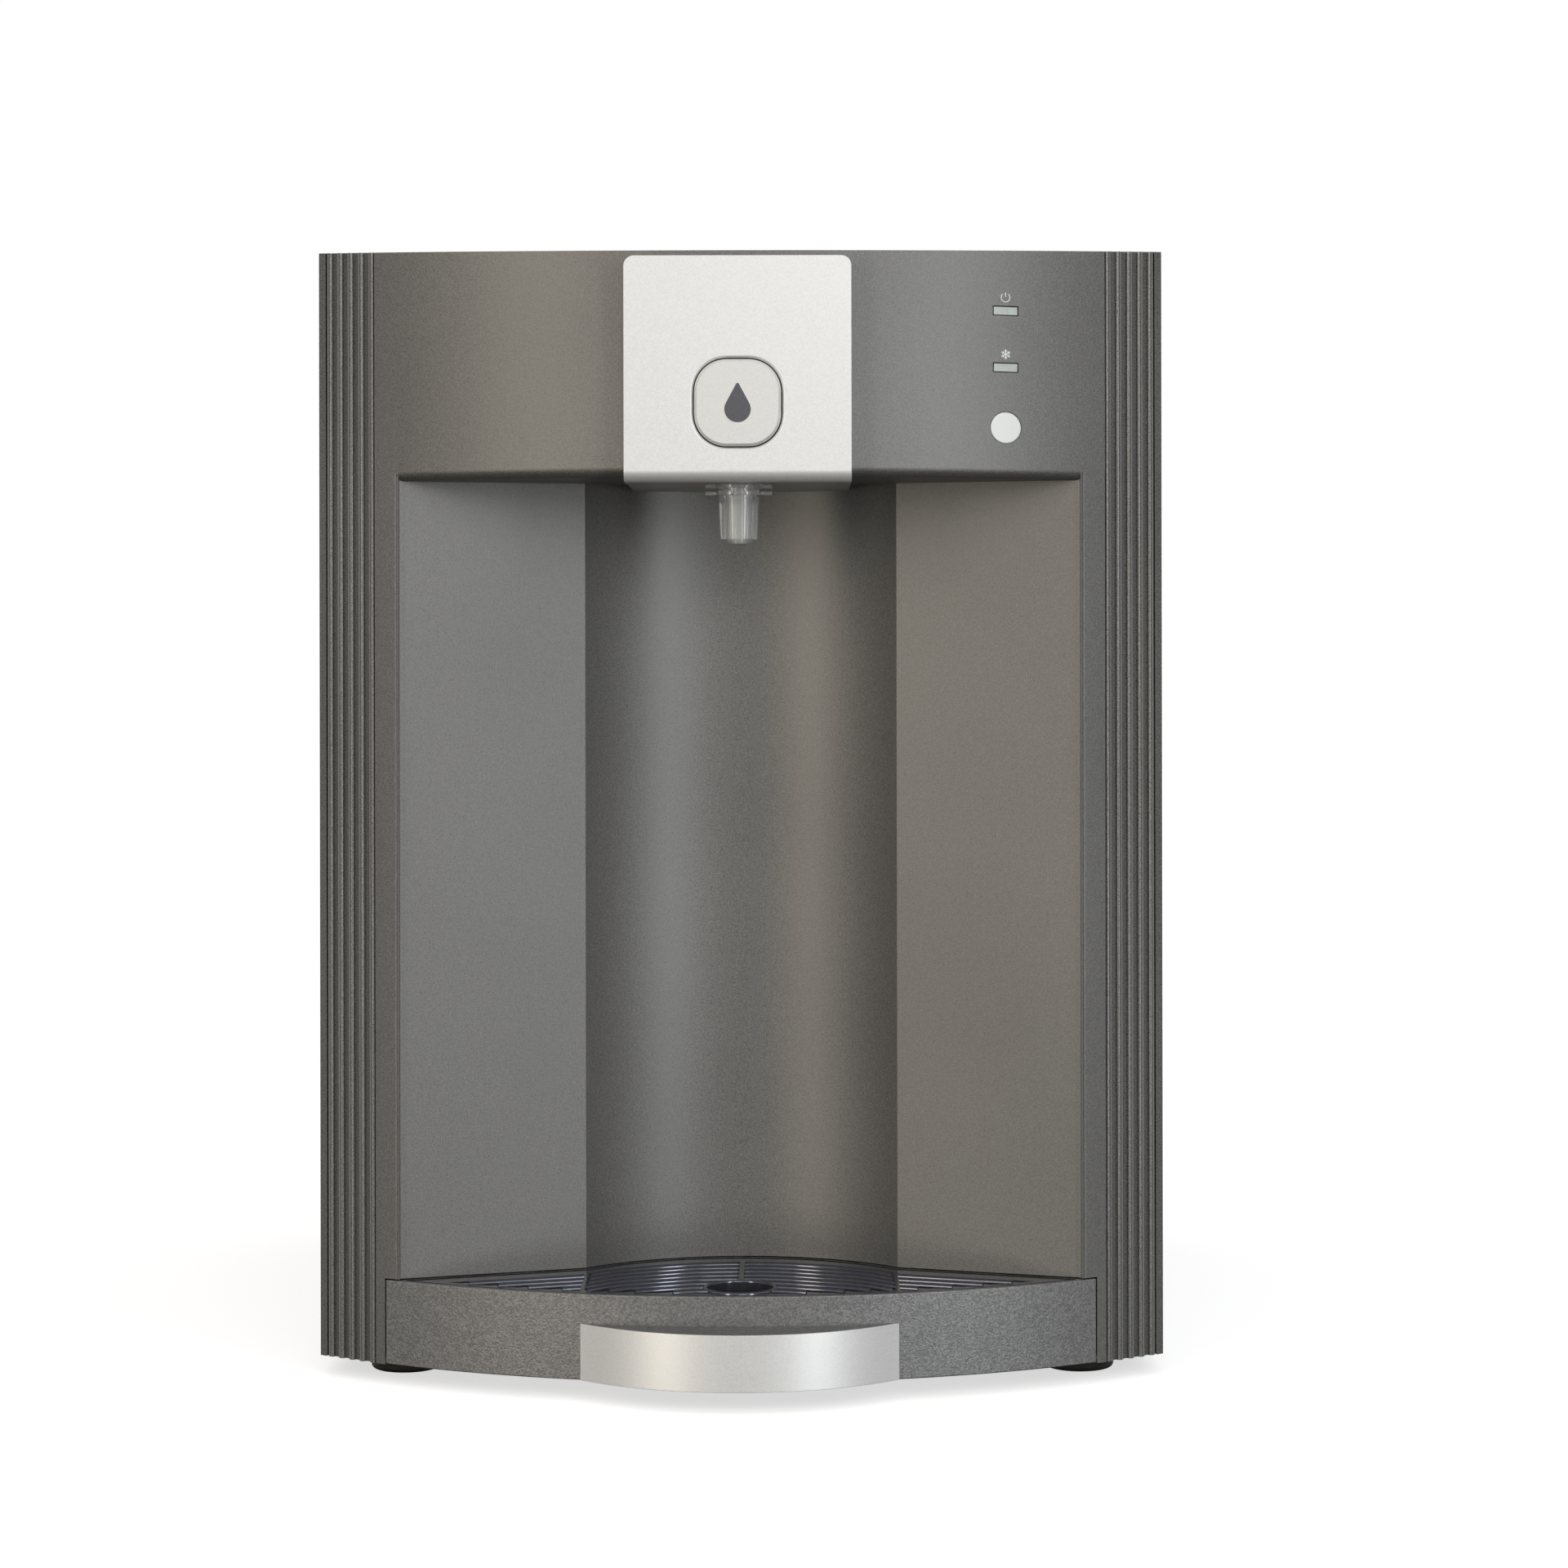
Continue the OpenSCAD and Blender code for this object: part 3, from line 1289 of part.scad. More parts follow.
socket_t = 1.6;
socket_floor = 3;
pin_w = 4;
pin_x = 7;
pin_z = 2;
pin_set = 3;
mains_bezel = [48, 25];
module mains_inlet() color(black) place() translate([mains_x, 0, mains_z]) difference() {
    union() {
        block(0, 0, mains_w, mains_h, rear_y - mains_d, rear_y + rear_t + bezel_t / 2);
        block(0, 0, mains_bezel.x, mains_bezel.y, rear_y + rear_t, rear_y + rear_t + bezel_t);
    }
    difference() {
        block(0, 0, mains_w - 2 * socket_t, mains_h - 2 * socket_t, rear_y - mains_d + socket_floor, far);
        for (i = [-1:1]) block(i * pin_x, i == 0 ? pin_z : -pin_z, pin_w, pin_w, 0, rear_y - pin_set);
    }
}

frame_t = 1.5;
frame_lip = 2;
frame_d = 14;
frame_floor = 2;
frame_w = rocker_w + 2 * rocker_gap + 2 * frame_t;
frame_h = rocker_h + 2 * rocker_gap + 2 * frame_t;
module rocker_frame() color(black) place() translate([rocker_x, 0, mains_z]) difference() {
    union() {
        block(0, 0, frame_w, frame_h, rear_y - frame_d, rear_y + rear_t + bezel_t / 2);
        translate([0, rear_y + rear_t, 0])
            block(0, 0, frame_w + 2 * frame_lip, frame_h + 2 * frame_lip, 0, bezel_t);
    }
    block(0, 0, rocker_w + 2 * rocker_gap, rocker_h + 2 * rocker_gap, rear_y - frame_d + frame_floor, far);
    rod_x(-frame_w / 2 - frame_lip / 2, frame_w / 2 + frame_lip / 2, pivot_y, 0, pivot_r + run_gap);
}
rocker_edge = 0.6;
rocker_face = 2.5;
rocker_skirt = 3;
rocker_deep = 6;
rocker_foot = 4;
module power_rocker() color(black) place()
    translate([rocker_x, pivot_y, mains_z]) rotate([rocker_tilt, 0, 0]) {
        half = rocker_h / 2 - rocker_edge;
        tip = rocker_face + rocker_h / 2 * tan(rocker_tilt);
        along_x(-rocker_w / 2, rocker_w / 2) polygon([
            [-rocker_deep, -rocker_foot], [-rocker_skirt, -half], [tip, -half], [rocker_face, 0],
            [tip, half], [-rocker_skirt, half], [-rocker_deep, rocker_foot]
        ]);
        rod_x(-frame_w / 2, frame_w / 2, 0, 0, pivot_r);
    }

base_pan();
foot(-foot_x, foot_ys[0]);  // foot_front_left
foot(foot_x, foot_ys[0]);  // foot_front_right
foot(-foot_x, foot_ys[1]);  // foot_rear_left
foot(foot_x, foot_ys[1]);  // foot_rear_right
foot_screws();
left_side_panel();
right_side_panel();
front_panel();
top_cover();
rear_panel();
rear_panel_screws();
head_cover();
head_housing();
dispense_button();
button_spring();
dispense_switch();
dispense_valve();
valve_coil();
nozzle();
nozzle_seal();
power_lens();
chill_lens();
mode_button();
indicator_board();
drip_tray();
drip_grid();
tray_handle();
handle_plate();
tank_stand();
cold_tank();
evaporator_jacket();
insulation_front();
insulation_rear();
compressor();
compressor_grommets();
compressor_bolts();
condenser();
fan_frame();
fan_motor();
fan_rotor();
discharge_line();
suction_line();
filter_drier();
capillary_tube();
inlet_fitting();
feed_tube();
cold_tube();
control_board();
mains_inlet();
rocker_frame();
power_rocker();
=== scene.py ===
# %% [markdown]
# A countertop water cooler, dressed for its portrait. The construction is already made: every panel,
# button and pipe comes in as a fixed frame, in metres, with -Y towards the viewer and Z up from the
# counter. The shapes could be modelled again here, but they would then drift from the construction, so
# this lesson only adds what it lacks: rounded edges, finishes, printed marks and light.

# %% Load the frame
import json
import math

import bmesh
import bpy
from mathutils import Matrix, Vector


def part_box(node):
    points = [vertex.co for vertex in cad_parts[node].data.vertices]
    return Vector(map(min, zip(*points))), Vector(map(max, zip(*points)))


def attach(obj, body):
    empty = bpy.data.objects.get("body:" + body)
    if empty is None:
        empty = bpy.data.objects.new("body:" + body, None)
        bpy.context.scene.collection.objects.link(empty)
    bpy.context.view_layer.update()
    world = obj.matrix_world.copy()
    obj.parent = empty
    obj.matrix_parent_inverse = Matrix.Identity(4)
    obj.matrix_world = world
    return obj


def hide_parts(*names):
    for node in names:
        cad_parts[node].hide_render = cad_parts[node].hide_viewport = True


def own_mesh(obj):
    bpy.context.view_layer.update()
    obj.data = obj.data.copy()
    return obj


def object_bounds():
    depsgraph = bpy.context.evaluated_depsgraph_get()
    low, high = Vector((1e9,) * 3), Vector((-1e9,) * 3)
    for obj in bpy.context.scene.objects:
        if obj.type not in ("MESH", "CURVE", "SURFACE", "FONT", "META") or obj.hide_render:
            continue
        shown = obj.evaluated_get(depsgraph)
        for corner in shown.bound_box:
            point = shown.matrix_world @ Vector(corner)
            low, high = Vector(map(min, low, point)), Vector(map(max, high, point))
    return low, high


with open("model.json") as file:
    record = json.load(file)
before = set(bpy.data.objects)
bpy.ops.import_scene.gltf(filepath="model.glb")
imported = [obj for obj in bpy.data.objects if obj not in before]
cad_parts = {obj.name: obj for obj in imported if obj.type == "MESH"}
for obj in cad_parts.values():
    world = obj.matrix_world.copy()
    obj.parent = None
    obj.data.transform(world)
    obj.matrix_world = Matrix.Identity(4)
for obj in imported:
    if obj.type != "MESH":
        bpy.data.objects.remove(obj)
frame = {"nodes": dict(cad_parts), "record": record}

cad_low, cad_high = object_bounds()
MM = 0.001
body_of = {n: b for b, nodes in frame["record"]["behaviour"]["bodies"].items() for n in nodes}
slot_of = {s["node"]: s["material_slot"] for s in frame["record"]["subparts"]}
print("nodes in the frame:", len(frame["nodes"]))

# %% [markdown]
# The camera stands level in front of the cooler, at about two thirds of its height, and looks straight
# back. A long lens keeps the sides nearly parallel. A tilted camera would frame the cooler too,
# but its upright edges would lean together, so the picture is framed with the lens shift, as a product
# photographer does.

# %% Camera
CAMERA_PLACE = (0.024, -1.5523, 0.2957)
FOCAL_LENGTH = 80.6
LEVEL = math.radians(90)
ROLL = math.radians(0.1)
SHIFT_LEFT = 0.0103
SHIFT_DOWN = 0.091


def new_object(name, data):
    made = bpy.data.objects.new(name, data)
    bpy.context.scene.collection.objects.link(made)
    return made


camera = new_object("camera", bpy.data.cameras.new("camera"))
camera.location = CAMERA_PLACE
camera.rotation_euler = (LEVEL, ROLL, 0)
camera.data.lens = FOCAL_LENGTH
camera.data.shift_x = -SHIFT_LEFT
camera.data.shift_y = -SHIFT_DOWN
bpy.context.scene.camera = camera
bpy.context.scene.view_settings.view_transform = "Standard"
print("camera at", CAMERA_PLACE)

# %% [markdown]
# A finish is a material, and a material is a small network of nodes. It could be wired by hand in the
# node editor, but the finishes here share most of their wiring. One helper adds a node, sets it up and
# wires its inputs in one line. Another starts a finish, and sets each value that is the same everywhere
# on the shader's own socket.

# %% Nodes of a finish
FINISHES = {}


def add(tree, kind, inputs=None, **settings):
    made = tree.nodes.new(kind)
    for label, value in settings.items():
        setattr(made, label, value)
    for label, value in (inputs or {}).items():
        if isinstance(value, bpy.types.NodeSocket):
            tree.links.new(value, made.inputs[label])
        else:
            made.inputs[label].default_value = value
    return made


def start_finish(name, **constants):
    made = bpy.data.materials.new(name)
    made.use_nodes = True
    shader = made.node_tree.nodes["Principled BSDF"]
    for label, value in constants.items():
        shader.inputs[label.replace("_", " ")].default_value = value
    return made, made.node_tree, shader


print("finishes that the pieces ask for:", ", ".join(sorted(set(slot_of.values()))))

# %% [markdown]
# One even colour would be quick, but real plastic and rubber are never quite even. So a noise is read at
# a real size in metres, turned into two tones of one colour and a range of roughness, and pressed into
# the surface as relief. The rubber of the feet tries these helpers out.

# %% Grain and relief
RUBBER = (0.013, 0.011, 0.008)
NOISE_LOW, NOISE_HIGH = 0.3, 0.7


def grain(tree, size, detail=2.0, stretch=(1, 1, 1)):
    place = add(tree, "ShaderNodeTexCoord").outputs["Object"]
    place = add(tree, "ShaderNodeMapping", {"Vector": place, "Scale": stretch}).outputs["Vector"]
    noise = add(tree, "ShaderNodeTexNoise", {"Vector": place, "Scale": 1 / size, "Detail": detail})
    return noise.outputs["Fac"]


def two_tones(tree, fac, colour, contrast, low=0.32, high=0.68):
    ramp = add(tree, "ShaderNodeValToRGB", {"Fac": fac})
    for stop, place, gain in zip(ramp.color_ramp.elements, (low, high), (1 - contrast, 1 + contrast)):
        stop.position = place
        stop.color = (*[min(1, c * gain) for c in colour], 1)
    return ramp.outputs["Color"]


def spread(tree, fac, low, high):
    inputs = {"Value": fac, "From Min": NOISE_LOW, "From Max": NOISE_HIGH, "To Min": low, "To Max": high}
    return add(tree, "ShaderNodeMapRange", inputs).outputs["Result"]


def relief(tree, shader, height, depth):
    bump = add(tree, "ShaderNodeBump", {"Height": height, "Distance": depth, "Strength": 1.0})
    tree.links.new(bump.outputs["Normal"], shader.inputs["Normal"])


def moulded(name, colour, size, contrast, rough, depth, **constants):
    made, tree, shader = start_finish(name, **constants)
    fac = grain(tree, size)
    tree.links.new(two_tones(tree, fac, colour, contrast), shader.inputs["Base Color"])
    tree.links.new(spread(tree, fac, *rough), shader.inputs["Roughness"])
    relief(tree, shader, fac, depth)
    return made


FINISHES["black_rubber"] = moulded("black_rubber", RUBBER, 1.2 * MM, 0.3, (0.6, 0.8), 0.05 * MM)
print("nodes in the rubber:", len(FINISHES["black_rubber"].node_tree.nodes))

# %% [markdown]
# The cabinet is moulded in a graphite plastic with fine metal flakes in it: a warm mid grey with a grain
# of about half a millimetre and a satin sheen. Modelled flakes would be far too many, so they are one
# noise that changes the tone, the roughness and the relief together. A second, slow noise lets the tone
# drift a little over a panel, as a large moulding does. The ribbed corner columns are the same plastic
# with a smoother skin, which draws the thin bright lines along the ribs.

# %% Graphite plastic
GRAPHITE = (0.197, 0.193, 0.185)
METAL_SHARE = 0.5
FLAKE = 0.55 * MM
FLAKE_CONTRAST = 0.26
FLAKE_RELIEF = 0.05 * MM
CLOUD = 90 * MM
CLOUD_TONE = (0.96, 0.96, 0.96)
CLOUD_CONTRAST = 0.04
SATIN = (0.4, 0.52)
SMOOTHER = (0.23, 0.33)
# the Mix node has several sockets of the same names, so its colour sockets go by number
COLOUR_A, COLOUR_B, COLOUR_RESULT = 6, 7, 2


def graphite_plastic(name, rough):
    made, tree, shader = start_finish(name, Metallic=METAL_SHARE)
    flakes = grain(tree, FLAKE)
    cloud = two_tones(tree, grain(tree, CLOUD, 1.0), CLOUD_TONE, CLOUD_CONTRAST)
    tone = two_tones(tree, flakes, GRAPHITE, FLAKE_CONTRAST)
    layers = {"Factor": 1.0, COLOUR_A: tone, COLOUR_B: cloud}
    mixed = add(tree, "ShaderNodeMix", layers, data_type="RGBA", blend_type="MULTIPLY")
    tree.links.new(mixed.outputs[COLOUR_RESULT], shader.inputs["Base Color"])
    tree.links.new(spread(tree, flakes, *rough), shader.inputs["Roughness"])
    relief(tree, shader, flakes, FLAKE_RELIEF)
    return made


FINISHES["graphite_plastic"] = graphite_plastic("graphite_plastic", SATIN)
FINISHES["column_plastic"] = graphite_plastic("column_plastic", SMOOTHER)
print("nodes in the graphite plastic:", len(FINISHES["graphite_plastic"].node_tree.nodes))

# %% [markdown]
# The tray's front has a coarser, leathery grain that glints. The soft noise of the cabinet would look
# too cloudy here, so a Voronoi pattern gives each fleck its own random tone, and a noise of the same size
# makes the pimpled surface that the glints sit on.

# %% Tray plastic
TRAY_GREY = (0.232, 0.230, 0.230)
TRAY_ROUGH = (0.34, 0.52)
FLECK = 0.65 * MM
FLECK_CONTRAST = 0.27
FLECK_STOPS = (0.05, 0.98)
PIMPLE_DETAIL = 3.0
PIMPLE_RELIEF = 0.15 * MM


def tray_plastic():
    made, tree, shader = start_finish("tray_plastic", Metallic=METAL_SHARE)
    place = add(tree, "ShaderNodeTexCoord").outputs["Object"]
    flecks = add(tree, "ShaderNodeTexVoronoi", {"Vector": place, "Scale": 1 / FLECK})
    fleck = add(tree, "ShaderNodeSeparateColor", {"Color": flecks.outputs["Color"]}).outputs["Red"]
    tone = two_tones(tree, fleck, TRAY_GREY, FLECK_CONTRAST, *FLECK_STOPS)
    tree.links.new(tone, shader.inputs["Base Color"])
    pimples = grain(tree, FLECK, PIMPLE_DETAIL)
    tree.links.new(spread(tree, pimples, *TRAY_ROUGH), shader.inputs["Roughness"])
    relief(tree, shader, pimples, PIMPLE_RELIEF)
    return made


FINISHES["tray_plastic"] = tray_plastic()
print("nodes in the tray plastic:", len(FINISHES["tray_plastic"].node_tree.nodes))

# %% [markdown]
# The nozzle is clear plastic, and the inside has steel and copper. Clear plastic could be a separate
# glass shader, but the Principled shader's own transmission keeps some of its milky body. The metals are
# drawn or rolled, so their grain is the same noise, stretched upwards into brush lines.

# %% Clear and brushed finishes
CLEAR_TONE = (0.98, 0.985, 0.975)
CLEAR_CONTRAST = 0.015
CLEAR_ROUGH = (0.01, 0.04)
CLEAR_WAVES = 6 * MM
BRUSH = 0.4 * MM
BRUSH_CONTRAST = 0.07
BRUSH_RELIEF = 0.01 * MM


def clear_plastic():
    made, tree, shader = start_finish("clear_plastic", Transmission_Weight=0.8, IOR=1.52)
    fac = grain(tree, CLEAR_WAVES)
    tree.links.new(two_tones(tree, fac, CLEAR_TONE, CLEAR_CONTRAST), shader.inputs["Base Color"])
    tree.links.new(spread(tree, fac, *CLEAR_ROUGH), shader.inputs["Roughness"])
    return made


def brushed(name, colour, rough, stretch):
    made, tree, shader = start_finish(name, Metallic=1.0)
    fac = grain(tree, BRUSH, stretch=stretch)
    tree.links.new(two_tones(tree, fac, colour, BRUSH_CONTRAST), shader.inputs["Base Color"])
    tree.links.new(spread(tree, fac, *rough), shader.inputs["Roughness"])
    relief(tree, shader, fac, BRUSH_RELIEF)
    return made


FINISHES["clear_plastic"] = clear_plastic()
FINISHES["steel"] = brushed("steel", (0.56, 0.57, 0.58), (0.28, 0.4), (1, 1, 0.05))
FINISHES["copper"] = brushed("copper", (0.72, 0.36, 0.2), (0.25, 0.4), (1, 1, 0.1))
print("finishes so far:", ", ".join(FINISHES))

# %% [markdown]
# The remaining finishes share one recipe: satin silver on the head and the handle, gloss black on the
# grid, and the foam, paint and board of the inside, which show when the cooler is opened. Each could be
# drawn by hand, but one function keeps them alike, and a finish is then one line. The head's housing is
# the cabinet's plastic in a lighter grey. The white plastic, and the white marks drawn in it, carry a
# faint painted glow of their own, a painted light that keeps them bright and legible.

# %% Moulded finishes
WHITE = (1, 1, 1, 1)
# colour, size of the grain in mm, contrast of its tones, range of roughness, depth of its relief in mm
MOULDED = {
    "silver_metal": ((0.935, 0.935, 0.925), 0.6, 0.05, (0.36, 0.46), 0.015),
    "silver_plastic": ((0.88, 0.875, 0.855), 0.6, 0.04, (0.36, 0.46), 0.015),
    "grid_black": ((0.13, 0.133, 0.16), 3, 0.1, (0.09, 0.15), 0.005),
    "black_plastic": ((0.022, 0.022, 0.023), 0.8, 0.2, (0.4, 0.55), 0.04),
    "lens_plastic": ((0.64, 0.69, 0.665), 1.5, 0.05, (0.25, 0.35), 0.01),
    "white_plastic": ((0.93, 0.95, 0.945), 1.5, 0.02, (0.22, 0.3), 0.01),
    "foam": ((0.8, 0.79, 0.74), 2, 0.08, (0.8, 0.95), 0.3),
    "circuit_board": ((0.02, 0.11, 0.05), 2.5, 0.25, (0.3, 0.45), 0.03),
    "black_paint": ((0.02, 0.02, 0.022), 1.5, 0.2, (0.2, 0.3), 0.02),
    "housing_grey": ((0.46, 0.455, 0.44), 0.8, 0.08, (0.4, 0.52), 0.03),
}
METAL_AND_PAINTED_GLOW = {
    "silver_metal": {"Metallic": 0.42},
    "silver_plastic": {"Metallic": 0.35},
    "grid_black": {"Metallic": 0.75},
    # painted glow: the white plastic gives off a faint light of its own, which keeps it bright
    "white_plastic": {"Emission_Color": WHITE, "Emission_Strength": 0.1},
    "housing_grey": {"Metallic": 0.3},
}
for name, (colour, size, contrast, rough, depth) in MOULDED.items():
    FINISHES[name] = moulded(name, colour, size * MM, contrast, rough, depth * MM, **METAL_AND_PAINTED_GLOW.get(name, {}))


def finish_of(node):
    return FINISHES["housing_grey" if node == "head_housing" else slot_of[node]]


for node, piece in frame["nodes"].items():
    piece.data.materials.clear()
    piece.data.materials.append(finish_of(node))
print("finishes:", len(FINISHES))

# %% [markdown]
# A moulded edge is never knife sharp: its tiny round catches the light and outlines every panel. The
# construction has plain edges, and its faces are loose triangles that no modifier can round. It must not
# be changed itself, so each visible piece is copied, and the copy's triangles are welded. These helpers
# weld, smooth, apply modifiers and set the copy in the place of the piece that it stands for.

# %% Weld and smooth
EDGE_ANGLE = math.radians(38)
WELD = 1e-6


def welded_copy(node):
    welded = bmesh.new()
    welded.from_mesh(frame["nodes"][node].data)
    bmesh.ops.remove_doubles(welded, verts=welded.verts, dist=WELD)
    return welded


def shaped(name, shape, finish):
    mesh = bpy.data.meshes.new(name)
    shape.to_mesh(mesh)
    shape.free()
    mesh.materials.append(finish)
    return new_object(name, mesh)


def smooth_by_angle(mesh):
    mesh.polygons.foreach_set("use_smooth", [True] * len(mesh.polygons))
    mesh.set_sharp_from_angle(angle=EDGE_ANGLE)


def apply_modifiers(piece):
    ready = bpy.context.evaluated_depsgraph_get()
    piece.data = bpy.data.meshes.new_from_object(piece.evaluated_get(ready))
    piece.modifiers.clear()


def set_in_place(piece, node):
    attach(piece, body_of[node])
    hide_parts(node)


loose_corners = len(frame["nodes"]["front_panel"].data.vertices)
trial = welded_copy("front_panel")
print("front panel's corners, loose and welded:", loose_corners, len(trial.verts))
trial.free()

# %% [markdown]
# The fascia is a shallow bow with a rounded lip below it, and the alcove's round back meets its splayed
# walls in two upright creases. Smooth shading alone leaves mottled strips on the lip, and a finer mesh
# would cost many triangles. The bow is a cylinder and the lip a torus, whose true directions are known,
# so these are laid on the corners of the faces as custom normals, and the creases are marked sharp.

# %% Bow, lip and creases
FRONT_CORNERS = -135.25 * MM
WING_IN, WING_OUT = 63 * MM, 135.5 * MM
WING_IN_Y = FRONT_CORNERS + 4 * MM
CREASE_REACH = 0.2 * MM
BOW_RADIUS = 282 * MM
BOW_CENTRE = FRONT_CORNERS + 225 * MM
FASCIA_HEIGHT = 93 * MM
LIP = 4 * MM
LIP_CENTRE = cad_high.z - FASCIA_HEIGHT + LIP
NEAR = 0.06 * MM
SAME_SIDE = math.cos(math.radians(25))


def crease_alcove(mesh):
    for edge in mesh.edges:
        ends = [mesh.vertices[v].co for v in edge.vertices]
        if all(abs(abs(p.x) - WING_IN) < CREASE_REACH and abs(p.y - WING_IN_Y) < CREASE_REACH for p in ends):
            edge.use_edge_sharp = True


def fascia_normal(place):
    outward = Vector((place.x, place.y - BOW_CENTRE, 0))
    reach = outward.length
    outward.normalize()
    if abs(place.x) < WING_OUT and LIP_CENTRE - LIP - NEAR < place.z < LIP_CENTRE:
        outward = outward * (reach - BOW_RADIUS + LIP) + Vector((0, 0, place.z - LIP_CENTRE))
        reach = outward.length - LIP + BOW_RADIUS
        outward.normalize()
    return outward if abs(reach - BOW_RADIUS) < NEAR else None


def lay_fascia_normals(mesh):
    laid = [corner.vector.copy() for corner in mesh.corner_normals]
    for corner in mesh.loops:
        true = fascia_normal(mesh.vertices[corner.vertex_index].co)
        if true and true.dot(laid[corner.index]) > SAME_SIDE:
            laid[corner.index] = true
    mesh.normals_split_custom_set(laid)


bow_depth = BOW_RADIUS - math.sqrt(BOW_RADIUS ** 2 - cad_high.x ** 2)
print("depth of the fascia's bow in mm:", round(bow_depth / MM, 1))

# %% [markdown]
# A fine chamfer round the button's hole draws a bright ring, and each rib of the corner columns draws a
# bright line along its outer shoulder. A wide Bevel would round every other edge as well, so the copy is
# changed at these places alone: one bevel on the hole's rim, and a sideways shift of the corners that
# form the ribs' shoulders, which makes them broader and softer.

# %% Button ring and rib shoulders
CHAMFER = 0.75 * MM
BUTTON_REACH = 24 * MM
RIB_COUNT = 5
RIB_WIDTH, RIB_PITCH = 2.4 * MM, 4.55 * MM
RIB_CORNER = 3 * MM
RIB_ROUND, RIB_SHOULDER = 0.8 * MM, 1.8 * MM


def middle(node):
    corner, far_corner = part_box(node)
    return (corner + far_corner) / 2


def chamfer_button_hole(shape):
    centre = middle("dispense_button")
    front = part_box("head_cover")[0].y

    def on_rim(v):
        return (abs(v.co.y - front) < WELD
                and math.hypot(v.co.x - centre.x, v.co.z - centre.z) < BUTTON_REACH)

    rim = [e for e in shape.edges if all(on_rim(v) for v in e.verts)]
    bmesh.ops.bevel(shape, geom=rim, offset=CHAMFER, segments=1, affect="EDGES")


def rib_place(i):
    return cad_high.x - RIB_CORNER - RIB_WIDTH / 2 - i * RIB_PITCH


def widen_rib_shoulders(shape):
    for i in range(RIB_COUNT):
        turn = math.asin(rib_place(i) / BOW_RADIUS)
        half = RIB_WIDTH / math.cos(turn) / 2
        across = Vector((math.cos(turn), math.sin(turn)))
        for v in shape.verts:
            side = math.copysign(1, v.co.x)
            place = Vector((v.co.x * side, v.co.y - BOW_CENTRE))
            u = place.dot(across)
            depth = BOW_RADIUS + place.y * across.x - place.x * across.y
            if -NEAR < depth < RIB_ROUND + NEAR and half - RIB_ROUND - NEAR < u < half + NEAR:
                shift = (u - half) * (RIB_SHOULDER / RIB_ROUND - 1)
                v.co.x += side * shift * across.x
                v.co.y += shift * across.y


print("ribs at x in mm:", [round(rib_place(i) / MM, 2) for i in range(RIB_COUNT)])

# %% [markdown]
# Now every visible piece gets its rounds. Edges could be picked by hand, but an angle picks them all:
# flat triangles are joined into whole faces, and a Bevel modifier rounds each edge that is sharper than
# the angle. Weighted normals let the large faces lead, so that only the rounds shade. Some pieces get a
# second finish: the dispense button's sides, in the gap round it, are black as painted shade that darkens
# the gap, and the side panels have smoother columns in front of their corners.

# %% Rounded pieces
FLAT = math.radians(0.4)
EDGE_STEPS = 3
BUTTON_EDGE = 1.2 * MM
EDGE_ROUNDS = {
    "front_panel": 0.5 * MM, "left_side_panel": 0.35 * MM, "right_side_panel": 0.35 * MM,
    "top_cover": 0.5 * MM, "rear_panel": 0.25 * MM, "head_cover": 0.3 * MM, "head_housing": 0.4 * MM,
    "dispense_button": 0.25 * MM, "mode_button": 0.35 * MM, "power_lens": 0.2 * MM, "chill_lens": 0.2 * MM,
    "drip_tray": 0.5 * MM, "drip_grid": 0.4 * MM, "tray_handle": 0.25 * MM, "handle_plate": 0.25 * MM,
    "nozzle": 0.2 * MM, "mains_inlet": 0.4 * MM, "rocker_frame": 0.3 * MM, "power_rocker": 0.4 * MM,
    "inlet_fitting": 0.3 * MM,
}


def rounded(node, width):
    shape = welded_copy(node)
    bmesh.ops.dissolve_limit(shape, angle_limit=FLAT, verts=shape.verts, edges=shape.edges)
    if node.endswith("side_panel"):
        widen_rib_shoulders(shape)
    if node == "head_cover":
        chamfer_button_hole(shape)
    piece = shaped(node + "_rounded", shape, finish_of(node))
    bevel = piece.modifiers.new("edges", "BEVEL")
    bevel.width = width
    bevel.segments = EDGE_STEPS
    bevel.limit_method = "ANGLE"
    bevel.angle_limit = EDGE_ANGLE
    apply_modifiers(piece)
    smooth_by_angle(piece.data)
    if node == "front_panel":
        crease_alcove(piece.data)
    weigh = piece.modifiers.new("flat faces lead", "WEIGHTED_NORMAL")
    weigh.keep_sharp = True
    apply_modifiers(piece)
    if node == "front_panel":
        lay_fascia_normals(piece.data)
    set_in_place(piece, node)
    return piece


def paint_faces(piece, finish, chosen):
    piece.data.materials.append(finish)
    for face in piece.data.polygons:
        if chosen(face.center):
            face.material_index = 1


for node, width in EDGE_ROUNDS.items():
    piece = rounded(node, width)
    print(piece.name, "faces:", len(piece.data.polygons))
    if node == "dispense_button":
        # painted shade: the button's faces behind its front edge take black, so the gap round it looks dark
        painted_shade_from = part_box(node)[0].y + BUTTON_EDGE
        paint_faces(piece, FINISHES["black_plastic"], lambda place: place.y > painted_shade_from)
    if node.endswith("side_panel"):
        paint_faces(piece, FINISHES["column_plastic"], lambda place: place.y < FRONT_CORNERS)

# %% [markdown]
# Several details are thin beads along a line: the crowns of the grid's bars, the signs and the rocker's
# marks. Each could be a curve with a round profile, but one Geometry Nodes tree serves them all: Python
# draws the paths as wires, the tree sweeps a round bead of any size along them, and the result is kept
# as a plain mesh.

